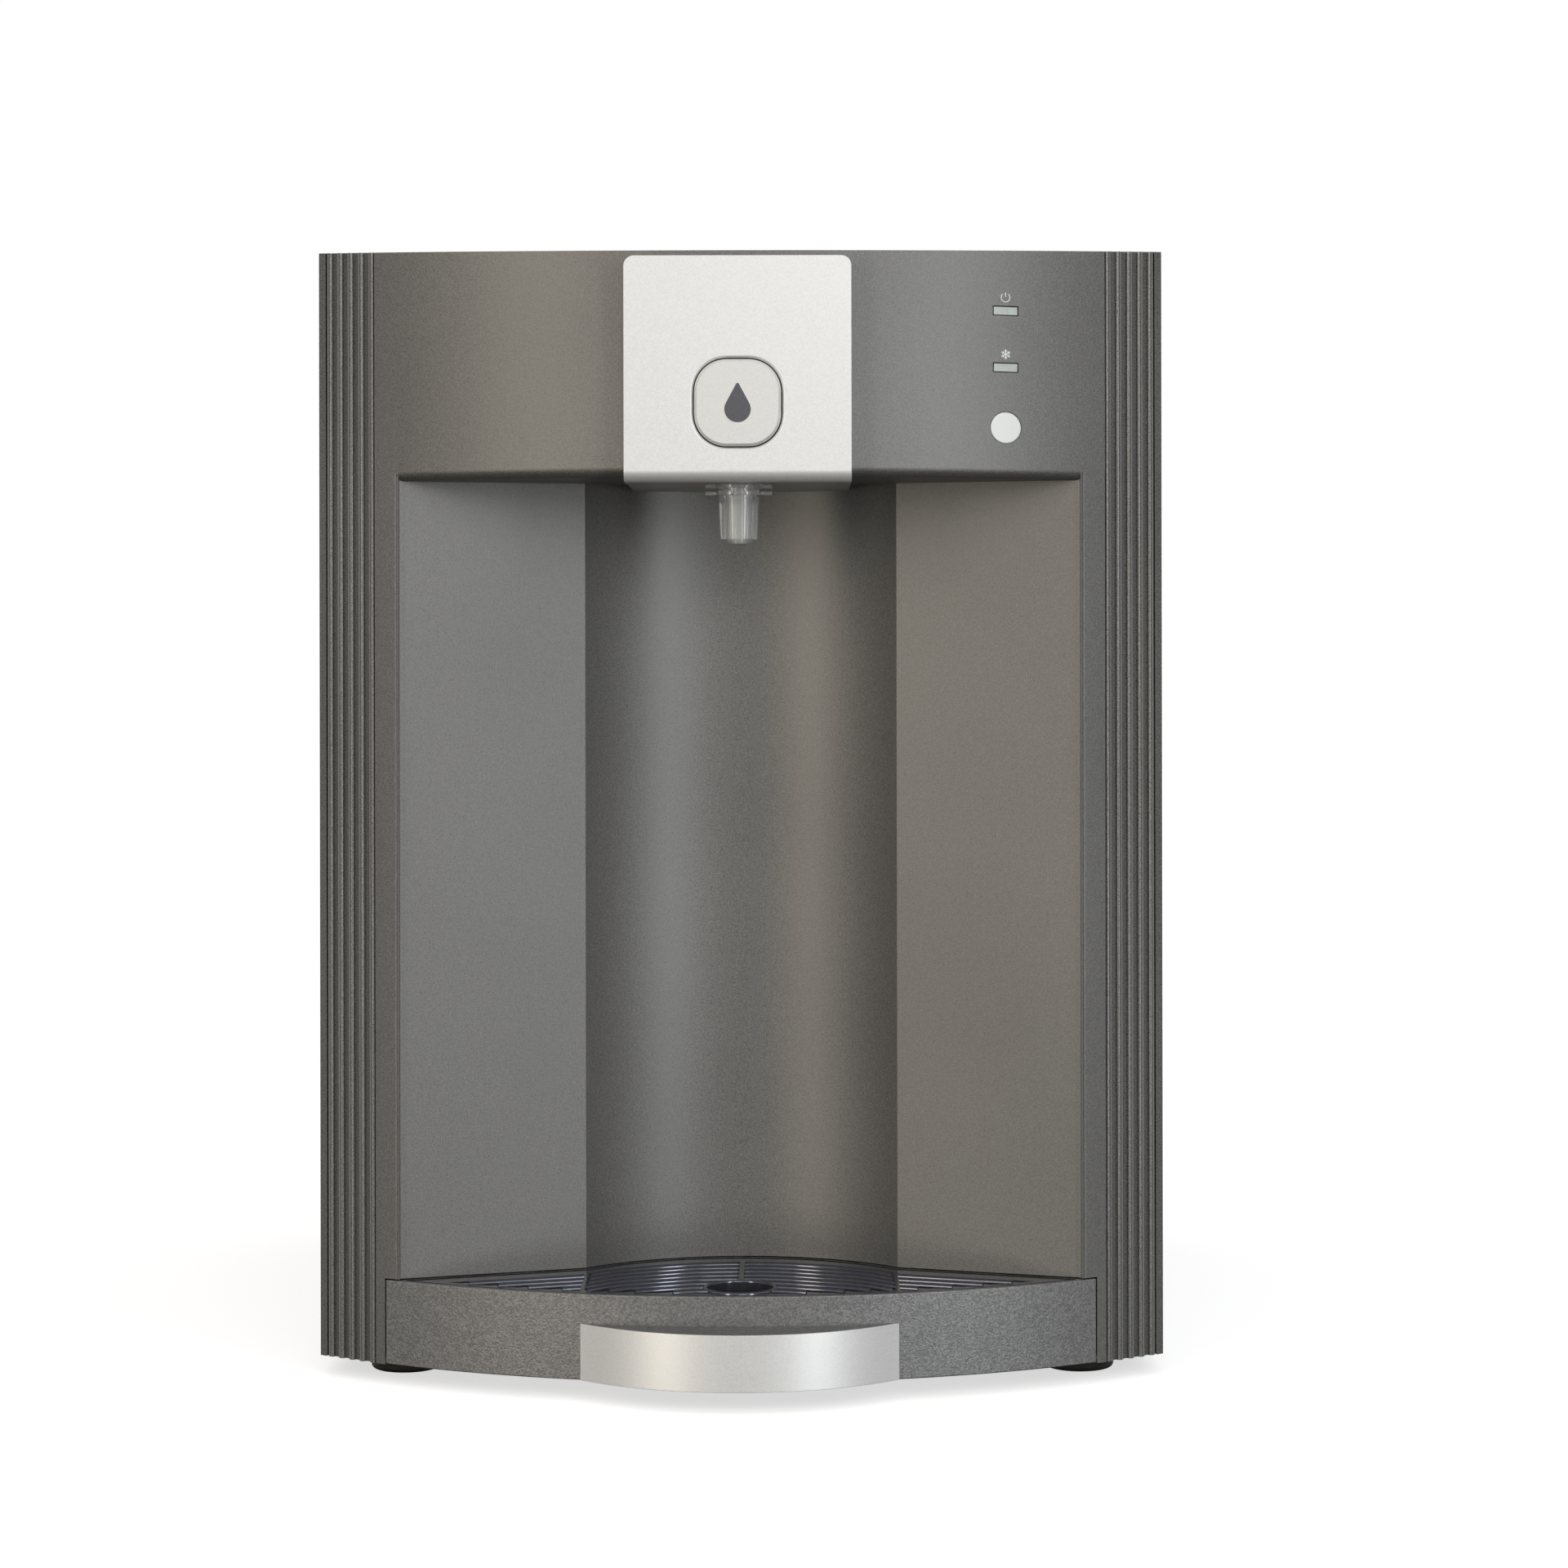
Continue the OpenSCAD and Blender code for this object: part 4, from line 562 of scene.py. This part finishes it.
# %% Sweep tree
def new_tree(name, inputs):
    tree = bpy.data.node_groups.new(name, "GeometryNodeTree")
    face = tree.interface
    face.new_socket("Geometry", in_out="INPUT", socket_type="NodeSocketGeometry")
    for label, kind in inputs.items():
        face.new_socket(label, in_out="INPUT", socket_type="NodeSocket" + kind)
    face.new_socket("Geometry", in_out="OUTPUT", socket_type="NodeSocketGeometry")
    return tree, add(tree, "NodeGroupInput").outputs


def close_tree(tree, shape, material):
    real = add(tree, "GeometryNodeRealizeInstances", {"Geometry": shape}).outputs["Geometry"]
    done = add(tree, "GeometryNodeSetMaterial", {"Geometry": real, "Material": material}).outputs["Geometry"]
    add(tree, "NodeGroupOutput", {"Geometry": done})


def grown(name, start, tree, values):
    piece = new_object(name, start)
    grow = piece.modifiers.new("grow", "NODES")
    grow.node_group = tree
    for item in tree.interface.items_tree:
        if item.in_out == "INPUT" and item.name in values:
            grow[item.identifier] = values[item.name]
    apply_modifiers(piece)
    return piece


def wires(name, lines):
    mesh = bpy.data.meshes.new(name)
    points, edges = [], []
    for line in lines:
        first = len(points)
        points += line
        edges += [(first + i, first + i + 1) for i in range(len(line) - 1)]
    mesh.from_pydata(points, edges, [])
    return mesh


sweep, given = new_tree("sweep_bead", {"Bead radius": "Float", "Sides": "Int", "Finish": "Material"})
path = add(sweep, "GeometryNodeMeshToCurve", {"Mesh": given["Geometry"]}).outputs["Curve"]
ring = add(sweep, "GeometryNodeCurvePrimitiveCircle",
           {"Radius": given["Bead radius"], "Resolution": given["Sides"]}).outputs["Curve"]
bead = add(sweep, "GeometryNodeCurveToMesh", {"Curve": path, "Profile Curve": ring, "Fill Caps": True})
soft = add(sweep, "GeometryNodeSetShadeSmooth", {"Geometry": bead.outputs["Mesh"]}).outputs["Geometry"]
close_tree(sweep, soft, given["Finish"])
print("nodes in the sweep tree:", len(sweep.nodes))

# %% [markdown]
# The grid's bars are crowned, and each crown draws one thin bright line. In the middle they are copies
# of one arc, that of the alcove's round back, each a pitch further forward. Beside it they are straight
# and run along the splayed walls. Drawing each bar by hand would be slow to change, so two rules give the
# lines, and each line is cut where it leaves the grid, meets a rung or reaches the round hole.

# %% Lines of the grid's bars
BACK_RADIUS = 87 * MM
BACK_CENTRE = FRONT_CORNERS - 56 * MM
SPLAY_END = FRONT_CORNERS - 20 * MM
SPLAY = (WING_IN_Y - SPLAY_END) / (WING_OUT - WING_IN)
BAR_PITCH = 8.4 * MM
GRID_GAP = 0.6 * MM
GRID_RIM = 10 * MM
FIRST_BAR = 16.2 * MM
BAR_ROWS = 9
FRONT_RIM = 7 * MM
DRAIN = Vector((0, FRONT_CORNERS - 38.5 * MM))
DRAIN_HOLE = 13 * MM
DRAIN_RING = DRAIN_HOLE + 0.9 * MM
RUNG = 1 * MM
CROWN_SUNK = 0.2 * MM
STEPS = 160
grid_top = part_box("drip_grid")[1].z
crown_z = grid_top - CROWN_SUNK


def on_grid(x, y):
    inside_front = math.hypot(x, y - BOW_CENTRE) < BOW_RADIUS - FRONT_RIM
    off_drain = (Vector((x, y)) - DRAIN).length > DRAIN_RING
    return inside_front and off_drain


def kept_runs(points):
    runs, run = [], []
    for x, y, keep in points:
        if keep:
            run.append((x, y, crown_z))
        if not keep or (x, y, keep) == points[-1]:
            if len(run) > 2:
                runs.append(run)
            run = []
    return runs


def back_bars():
    runs = []
    r = BACK_RADIUS - GRID_GAP
    across = [-WING_IN + 2 * WING_IN * k / STEPS for k in range(STEPS + 1)]
    for i in range(BAR_ROWS):
        middle_y = BACK_CENTRE - FIRST_BAR - i * BAR_PITCH
        line = [(x, middle_y + math.sqrt(r * r - x * x)) for x in across]
        runs += kept_runs([(x, y, on_grid(x, y) and RUNG < abs(x) < WING_IN - 2 * RUNG) for x, y in line])
    return runs


def wing_bars():
    runs = []
    lean = math.hypot(1, SPLAY)
    line = [WING_IN + (WING_OUT - WING_IN) * k / STEPS for k in range(STEPS + 1)]
    for side in (-1, 1):
        for i in range(BAR_ROWS):
            back = (GRID_GAP + GRID_RIM) * lean + FIRST_BAR - GRID_RIM + i * BAR_PITCH
            points = [(side * x, SPLAY_END + (WING_OUT - x) * SPLAY - back) for x in line]
            runs += kept_runs([(x, y, on_grid(x, y)) for x, y in points])
    return runs


grid_runs = back_bars() + wing_bars()
print("lines of the grid's bars:", len(grid_runs))

# %% [markdown]
# A crown is the rounded top of a bar. Rounded edges alone would leave the bar's top flat and dull, so a
# round bead is sunk into each bar, with its top a little above it. All the beads are one piece that rides
# on the grid, because the grid lifts out of the tray.

# %% Grid crowns
CROWN = 1.1 * MM
CROWN_SIDES = 10
crowns = grown("grid_crowns", wires("crowns", grid_runs), sweep,
               {"Bead radius": CROWN, "Sides": CROWN_SIDES, "Finish": FINISHES["grid_black"]})
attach(crowns, "grid")
print("grid crowns' faces:", len(crowns.data.polygons))

# %% [markdown]
# Under the nozzle the grid has a round hole with a glossy collar: a rounded rim that catches the light,
# and a short tube that leads the drips down. A torus and a tube would have to be joined, so both are one
# outline, turned about the hole's axis. A spin can leave faces inside out, so its normals are worked out
# again after its seam is welded.

# %% Drain collar
COLLAR_DEPTH = 12 * MM
COLLAR_WALL = 1.7 * MM
COLLAR_SUNK = 0.05 * MM
COLLAR_STEPS = 72
RIM_STEPS = 10


def arc(centre, radius, start, end, steps):
    angles = [start + (end - start) * i / steps for i in range(steps + 1)]
    return [(centre[0] + radius * math.cos(a), centre[1] + radius * math.sin(a)) for a in angles]


def turned_ring(name, outline, axis_place, finish):
    shape = bmesh.new()
    around = [shape.verts.new((axis_place.x + r, axis_place.y, z)) for r, z in outline]
    sides = [shape.edges.new((around[i - 1], around[i])) for i in range(len(around))]
    bmesh.ops.spin(shape, geom=around + sides, cent=(axis_place.x, axis_place.y, 0), axis=(0, 0, 1),
                   angle=2 * math.pi, steps=COLLAR_STEPS)
    bmesh.ops.remove_doubles(shape, verts=shape.verts, dist=WELD)
    bmesh.ops.recalc_face_normals(shape, faces=shape.faces)
    piece = shaped(name, shape, finish)
    smooth_by_angle(piece.data)
    return piece


collar_in = DRAIN_HOLE - COLLAR_SUNK
collar_low = grid_top - COLLAR_DEPTH
rim_arc = arc((collar_in + COLLAR_WALL / 2, grid_top), COLLAR_WALL / 2, math.pi, 0, RIM_STEPS)
collar_outline = [(collar_in, collar_low), *rim_arc, (collar_in + COLLAR_WALL, collar_low)]
collar = turned_ring("drain_collar", collar_outline, DRAIN, FINISHES["grid_black"])
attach(collar, "grid")
print("collar faces:", len(collar.data.polygons))

# %% [markdown]
# The dispense button carries a printed drop. Its outline is the two tangent lines from a point to a
# circle, with the point rounded off. A mask in the button's material could draw it, but a real outline
# stays crisp from close by: the shape is filled, given the thickness of a print that stands just proud of
# the face, and rides on the button.

# %% Drop on the button
DROP_RADIUS = 5.1 * MM
DROP_HEIGHT = 15.2 * MM
DROP_TIP = 0.6 * MM
BELLY_STEPS, TIP_STEPS = 40, 8
PRINT = 0.12 * MM


def drop_outline():
    belly = DROP_RADIUS - DROP_HEIGHT / 2
    tip = DROP_HEIGHT / 2 - DROP_TIP
    lean = math.asin((DROP_RADIUS - DROP_TIP) / (tip - belly))
    round_belly = arc((0, belly), DROP_RADIUS, math.pi - lean, 2 * math.pi + lean, BELLY_STEPS)
    return round_belly + arc((0, tip), DROP_TIP, lean, math.pi - lean, TIP_STEPS)


def print_on_front(name, outline, centre, face_y, finish):
    shape = bmesh.new()
    corners = [shape.verts.new((centre.x + u, face_y + PRINT, centre.z + v)) for u, v in outline]
    face = shape.faces.new(corners)
    raised = bmesh.ops.extrude_face_region(shape, geom=[face])["geom"]
    lifted = [v for v in raised if isinstance(v, bmesh.types.BMVert)]
    bmesh.ops.translate(shape, verts=lifted, vec=(0, -2 * PRINT, 0))
    bmesh.ops.recalc_face_normals(shape, faces=shape.faces)
    return shaped(name, shape, finish)


drop_print = moulded("drop_print", (0.122, 0.122, 0.138), 0.8 * MM, 0.08, (0.4, 0.5), 0.01 * MM)
button_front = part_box("dispense_button")[0].y
drop = print_on_front("drop_mark", drop_outline(), middle("dispense_button"), button_front, drop_print)
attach(drop, "dispense_push")
print("drop mark faces:", len(drop.data.polygons))

# %% [markdown]
# Behind the button sits its return spring. When the button is pushed, the spring's front end goes back
# with it while its rear end stays on its seat. A coil that only rode on the button would pierce the seat,
# so it is a welded copy of the coil, set in its place on the coil's own body.


coil = shaped("return_spring", welded_copy("button_spring"), FINISHES["steel"])
smooth_by_angle(coil.data)
set_in_place(coil, "button_spring")
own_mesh(coil)

# %% [markdown]
# Above the two lenses stand small white marks: a power sign and a snow crystal, both generic signs. Flat
# prints would sink into the bowed fascia or stand off it, so the points of their lines are laid on its
# cylinder, and the same sweep tree draws them as fine raised print.

# %% Signs above the lenses
SIGN_RADIUS = 1.75 * MM
SIGN_RISE = 5.2 * MM
SIGN_GAP = math.radians(38)
RING_STEPS = 28
STEM = (0.15 * SIGN_RADIUS, 1.15 * SIGN_RADIUS)
RAYS = 6
RAY = 1.15 * SIGN_RADIUS
FORK = 0.55
TWIG = 0.42
TWIG_TURN = 0.8
LINE = 0.19 * MM
LINE_SIDES = 8


def on_fascia(x, z):
    return (x, BOW_CENTRE - math.sqrt(BOW_RADIUS ** 2 - x ** 2), z)


def power_sign():
    ring_line = arc((0, 0), SIGN_RADIUS, math.pi / 2 + SIGN_GAP, 2.5 * math.pi - SIGN_GAP, RING_STEPS)
    return [ring_line, [(0, height) for height in STEM]]


def way(turn):
    return Vector((math.cos(turn), math.sin(turn)))


def crystal_sign():
    lines = []
    for k in range(RAYS):
        turn = math.pi / 2 + k * 2 * math.pi / RAYS
        fork = way(turn) * FORK * SIGN_RADIUS
        lines.append([(0, 0), tuple(way(turn) * RAY)])
        for side in (-1, 1):
            twig = way(turn + side * TWIG_TURN) * TWIG * SIGN_RADIUS
            lines.append([tuple(fork), tuple(fork + twig)])
    return lines


sign_lines = []
for node, sign in (("power_lens", power_sign()), ("chill_lens", crystal_sign())):
    lens = middle(node)
    for line in sign:
        sign_lines.append([on_fascia(lens.x + u, lens.z + SIGN_RISE + v) for u, v in line])
signs = grown("lens_signs", wires("signs", sign_lines), sweep,
              {"Bead radius": LINE, "Sides": LINE_SIDES, "Finish": FINISHES["white_plastic"]})
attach(signs, "cabinet")
print("sign lines:", len(sign_lines))

# %% [markdown]
# Pieces that repeat, such as screws and pins, are one shape on many points. The shape could be copied by
# a Python loop, but a Geometry Nodes tree keeps its sizes as inputs. These helpers do a sum, move, join
# or lift shapes within a tree, and set the finished shape on every point, turned to face the rear.

# %% Tree helpers
FACE_REAR = (-math.pi / 2, 0, 0)


def maths(tree, operation, first, second=0.0):
    return add(tree, "ShaderNodeMath", {0: first, 1: second}, operation=operation).outputs["Value"]


def share(tree, size, factor):
    return maths(tree, "MULTIPLY", size, factor)


def rise(tree, height):
    return add(tree, "ShaderNodeCombineXYZ", {"Z": height}).outputs["Vector"]


def cone(tree, sides, bottom, top, depth):
    inputs = {"Vertices": sides, "Radius Top": top, "Radius Bottom": bottom, "Depth": depth}
    return add(tree, "GeometryNodeMeshCone", inputs).outputs["Mesh"]


def moved(tree, shape, **places):
    return add(tree, "GeometryNodeTransform", {"Geometry": shape, **places}).outputs["Geometry"]


def joined(tree, *shapes):
    join = add(tree, "GeometryNodeJoinGeometry")
    for shape in shapes:
        tree.links.new(shape, join.inputs["Geometry"])
    return join.outputs["Geometry"]


def set_on_points(tree, given, shape):
    turned = moved(tree, shape, Rotation=FACE_REAR)
    copies = add(tree, "GeometryNodeInstanceOnPoints", {"Points": given["Geometry"], "Instance": turned})
    close_tree(tree, copies.outputs["Instances"], given["Finish"])


def points_only(name, points):
    mesh = bpy.data.meshes.new(name)
    mesh.from_pydata(points, [], [])
    return mesh


rear_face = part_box("rear_panel")[1].y
print("rear face at y in mm:", round(rear_face / MM, 1))

# %% [markdown]
# The rear panel is held by cross-head screws. A plain disc would do from afar, but the cross is what
# makes a screw look like one: the head is a flat cone with a cross cut into it by a boolean, on a plain
# shank. The points come from the corners of the plain screws that the copies stand for.

# %% Rear screws
SCREW_ROWS = 4
SCREW_HEAD = 3.5 * MM
SCREW_SHANK = 2 * MM
HEAD_SIDES, SHANK_SIDES = 28, 16
HEAD_TOP = 0.72
CROSS_LENGTH, CROSS_WIDTH = 1.15, 0.27
screw_low, screw_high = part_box("rear_panel_screws")


def cross_screws():
    tree, given = new_tree("cross_screws", {"Head radius": "Float", "Head height": "Float", "Length": "Float",
                                            "Shank radius": "Float", "Finish": "Material"})
    radius, height, length = given["Head radius"], given["Head height"], given["Length"]
    head = cone(tree, HEAD_SIDES, radius, share(tree, radius, HEAD_TOP), height)
    bar_sizes = {"X": share(tree, radius, CROSS_LENGTH), "Y": share(tree, radius, CROSS_WIDTH), "Z": height}
    bar_size = add(tree, "ShaderNodeCombineXYZ", bar_sizes).outputs["Vector"]
    bar = add(tree, "GeometryNodeMeshCube", {"Size": bar_size}).outputs["Mesh"]
    bars = [moved(tree, bar, Translation=rise(tree, height), Rotation=(0, 0, turn))
            for turn in (0, math.pi / 2)]
    cut = add(tree, "GeometryNodeMeshBoolean", {"Mesh 1": head, "Mesh 2": joined(tree, *bars)},
              operation="DIFFERENCE").outputs["Mesh"]
    shank_sizes = {"Vertices": SHANK_SIDES, "Radius": given["Shank radius"], "Depth": length}
    shank = add(tree, "GeometryNodeMeshCylinder", shank_sizes).outputs["Mesh"]
    shank = moved(tree, shank, Translation=rise(tree, share(tree, length, -0.5)))
    set_on_points(tree, given, joined(tree, cut, shank))
    return tree


row_step = (screw_high.z - screw_low.z - 2 * SCREW_HEAD) / (SCREW_ROWS - 1)
screw_points = [(side * (screw_high.x - SCREW_HEAD), rear_face, screw_low.z + SCREW_HEAD + i * row_step)
                for side in (-1, 1) for i in range(SCREW_ROWS)]
rear_screws = grown("rear_cross_screws", points_only("screw_places", screw_points), cross_screws(),
                    {"Head radius": SCREW_HEAD, "Head height": screw_high.y - rear_face,
                     "Length": rear_face - screw_low.y, "Shank radius": SCREW_SHANK,
                     "Finish": FINISHES["steel"]})
smooth_by_angle(rear_screws.data)
set_in_place(rear_screws, "rear_panel_screws")
print("rear screws:", len(screw_points))

# %% [markdown]
# On the rear, the mains socket shows three plated pins: square blades with tapered points, the middle one
# a step higher. A box with a bevel would taper its root as well, so each is two cones of four sides, one
# on the other, and a tree sets them on three points inside the socket.

# %% Mains pins
PIN_SIDES = 4
PIN_ACROSS = 4.3 * MM
PIN_APART = 7 * MM
PIN_STEP = 2 * MM
PIN_LENGTH = 13 * MM
PIN_SET = 2.8 * MM
PIN_TIP = 1.2 * MM
TIP_SHARE = 0.7


def mains_pins():
    tree, given = new_tree("mains_pins", {"Across": "Float", "Length": "Float", "Tip": "Float",
                                          "Finish": "Material"})
    corner = share(tree, given["Across"], math.sqrt(0.5))
    blade = cone(tree, PIN_SIDES, corner, corner, given["Length"])
    point = cone(tree, PIN_SIDES, corner, share(tree, corner, TIP_SHARE), given["Tip"])
    point = moved(tree, point, Translation=rise(tree, given["Length"]))
    square = moved(tree, joined(tree, blade, point), Rotation=(0, 0, math.pi / PIN_SIDES))
    set_on_points(tree, given, square)
    return tree


socket = middle("mains_inlet")
pin_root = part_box("rear_panel")[0].y - PIN_SET - PIN_LENGTH - PIN_TIP
pin_points = [(socket.x + i * PIN_APART, pin_root, socket.z + (PIN_STEP if i == 0 else -PIN_STEP))
              for i in (-1, 0, 1)]
pins = grown("mains_pins", points_only("pin_places", pin_points), mains_pins(),
             {"Across": PIN_ACROSS, "Length": PIN_LENGTH, "Tip": PIN_TIP, "Finish": FINISHES["steel"]})
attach(pins, "cabinet")
print("mains pins:", len(pin_points))

# %% [markdown]
# The rocker carries the line and the ring of an on and off switch. Its face is bent in the middle and
# tipped at rest, so flat marks would sink into it. They are lines laid on its two slopes, drawn by the
# sweep tree, and they tip with the rocker.

# %% Rocker marks
ROCKER_TILT = math.radians(8)
ROCKER_FACE = 2.5 * MM
PIVOT_OUT = 0.5 * MM
MARK_UP = 4.6 * MM
MARK_SIZE = 1.7 * MM
MARK_LINE = 0.32 * MM
MARK_STEPS = 32
rocker = middle("power_rocker")


def on_rocker(u, v):
    out = ROCKER_FACE + abs(v) * math.tan(ROCKER_TILT)
    y = out * math.cos(ROCKER_TILT) - v * math.sin(ROCKER_TILT)
    z = out * math.sin(ROCKER_TILT) + v * math.cos(ROCKER_TILT)
    return (rocker.x + u, rear_face + PIVOT_OUT + y, socket.z + z)


on_line = [on_rocker(0, MARK_UP - MARK_SIZE), on_rocker(0, MARK_UP + MARK_SIZE)]
off_ring = [on_rocker(u, v) for u, v in arc((0, -MARK_UP), MARK_SIZE, 0, 2 * math.pi, MARK_STEPS)]
rocker_marks = grown("rocker_marks", wires("marks", [on_line, off_ring]), sweep,
                     {"Bead radius": MARK_LINE, "Sides": LINE_SIDES, "Finish": FINISHES["white_plastic"]})
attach(rocker_marks, "rocker")
print("rocker marks' faces:", len(rocker_marks.data.polygons))

# %% [markdown]
# Studio light for a product shot: a tall, narrow softbox on each side, warm at the left and cool at the
# right, and a small square one in front and above. Large softboxes would light the cooler as well, but
# narrow ones draw thinner lines along the ribs and leave the handle its contrast.

# %% Light
TARGET = Vector((0, -0.1, 0.22))
LAMP_DISTANCE = 1.9
TALL, SQUARE = (0.3, 1.7), (0.7, 0.7)
WARM, COOL, NEUTRAL = (1.0, 0.88, 0.70), (0.94, 0.99, 1.02), (1.0, 1.0, 1.0)


def softbox(name, angle, height, size, power, colour):
    lamp = bpy.data.lights.new(name, "AREA")
    lamp.shape = "RECTANGLE"
    lamp.size, lamp.size_y = size
    lamp.energy = power
    lamp.color = colour
    made = new_object(name, lamp)
    turn = math.radians(angle)
    made.location = (LAMP_DISTANCE * math.sin(turn), -LAMP_DISTANCE * math.cos(turn), height)
    made.rotation_euler = (TARGET - made.location).to_track_quat("-Z", "Y").to_euler()
    made.visible_camera = False
    print(name, "at", [round(place, 2) for place in made.location])


softbox("softbox_left", angle=-35, height=0.5, size=TALL, power=8.8, colour=WARM)
softbox("softbox_right", angle=35, height=0.5, size=TALL, power=9.6, colour=COOL)
softbox("softbox_front", angle=8, height=0.9, size=SQUARE, power=3.5, colour=NEUTRAL)

# %% [markdown]
# Satin and glossy faces mirror the room they stand in. Walls and panels could be built round the cooler,
# but a room drawn in the world is simpler to tune: its brightness depends on the direction round the
# cooler, with a grey wall behind the camera, two tall lit strips, dark sides and a white back, and it
# fades to black downwards. Plain diffuse light is a glow that grows brighter upwards. The camera itself
# sees white.

# %% Mirrored room
# angle from the camera's side in degrees, brightness there
ROOM = (
    (0, 0.47), (22, 0.56), (38, 0.92), (52, 0.6), (62, 0.36),
    (72, 0.2), (82, 0.25), (94, 1.0), (180, 1.0),
)
HALF_TURN = 180
FADE_FROM, FADE_TO = -0.45, -0.2
GLOW_FROM, GLOW_TO = -0.1, 0.7
GLOW_LOW, GLOW_HIGH = 0.02, 0.55
world = bpy.data.worlds.new("studio")
bpy.context.scene.world = world
world.use_nodes = True
sky = world.node_tree
sky.nodes.clear()
ray = add(sky, "ShaderNodeLightPath").outputs
towards = add(sky, "ShaderNodeTexCoord").outputs["Generated"]
east, north, up = add(sky, "ShaderNodeSeparateXYZ", {"Vector": towards}).outputs
turned = maths(sky, "ABSOLUTE", maths(sky, "ARCTAN2", east, maths(sky, "MULTIPLY", north, -1.0)))
room = add(sky, "ShaderNodeValToRGB", {"Fac": maths(sky, "DIVIDE", turned, math.pi)})
stops = room.color_ramp.elements
while len(stops) < len(ROOM):
    stops.new(1.0)
for stop, (angle, level) in zip(stops, ROOM):
    stop.position = angle / HALF_TURN
    stop.color = (level, level, level, 1)
fade = {"Value": up, "From Min": FADE_FROM, "From Max": FADE_TO}
above = add(sky, "ShaderNodeMapRange", fade).outputs["Result"]
mirror_room = maths(sky, "MULTIPLY", room.outputs["Color"], above)
rising = {"Value": up, "From Min": GLOW_FROM, "From Max": GLOW_TO, "To Min": GLOW_LOW, "To Max": GLOW_HIGH}
lifted = add(sky, "ShaderNodeMapRange", rising).outputs["Result"]
mirrored = maths(sky, "MAXIMUM", ray["Is Glossy Ray"], ray["Is Transmission Ray"])
pick = {"Factor": mirrored, "A": lifted, "B": mirror_room}
lit = add(sky, "ShaderNodeMix", pick, data_type="FLOAT").outputs[0]
shown = maths(sky, "MAXIMUM", lit, ray["Is Camera Ray"])
glow = add(sky, "ShaderNodeBackground", {"Color": WHITE, "Strength": shown})
add(sky, "ShaderNodeOutputWorld", {"Surface": glow.outputs[0]})
print("steps of brightness round the room:", len(stops))

# %% [markdown]
# The floor is white paper. An ordinary floor would throw light back up, so only the camera sees this one,
# and the undersides stay dark. It is lifted to the white of the background by some light of its own, and
# keeps the cooler's soft shadow.

# %% Floor
FLOOR_HALF = 6.0
FLOOR_LIFT = 0.62
PAPER = (0.86, 0.86, 0.86, 1)
corners = [(x * FLOOR_HALF, y * FLOOR_HALF, 0) for x, y in ((-1, -1), (1, -1), (1, 1), (-1, 1))]
floor = new_object("floor", bpy.data.meshes.new("floor"))
floor.data.from_pydata(corners, [], [(0, 1, 2, 3)])
paper = start_finish("floor_paper", Base_Color=PAPER, Roughness=0.9, Specular_IOR_Level=0.0,
                     Emission_Color=WHITE, Emission_Strength=FLOOR_LIFT)[0]
floor.data.materials.append(paper)
floor.visible_glossy = False
floor.visible_diffuse = False
floor.visible_transmission = False
floor.visible_shadow = False
print("floor, metres across:", 2 * FLOOR_HALF)

# %% [markdown]
# Last, the width, depth and height of the bare construction are printed in millimetres.

# %% Measure and finish
print("width, depth and height in mm:", [round(edge / MM, 1) for edge in cad_high - cad_low])
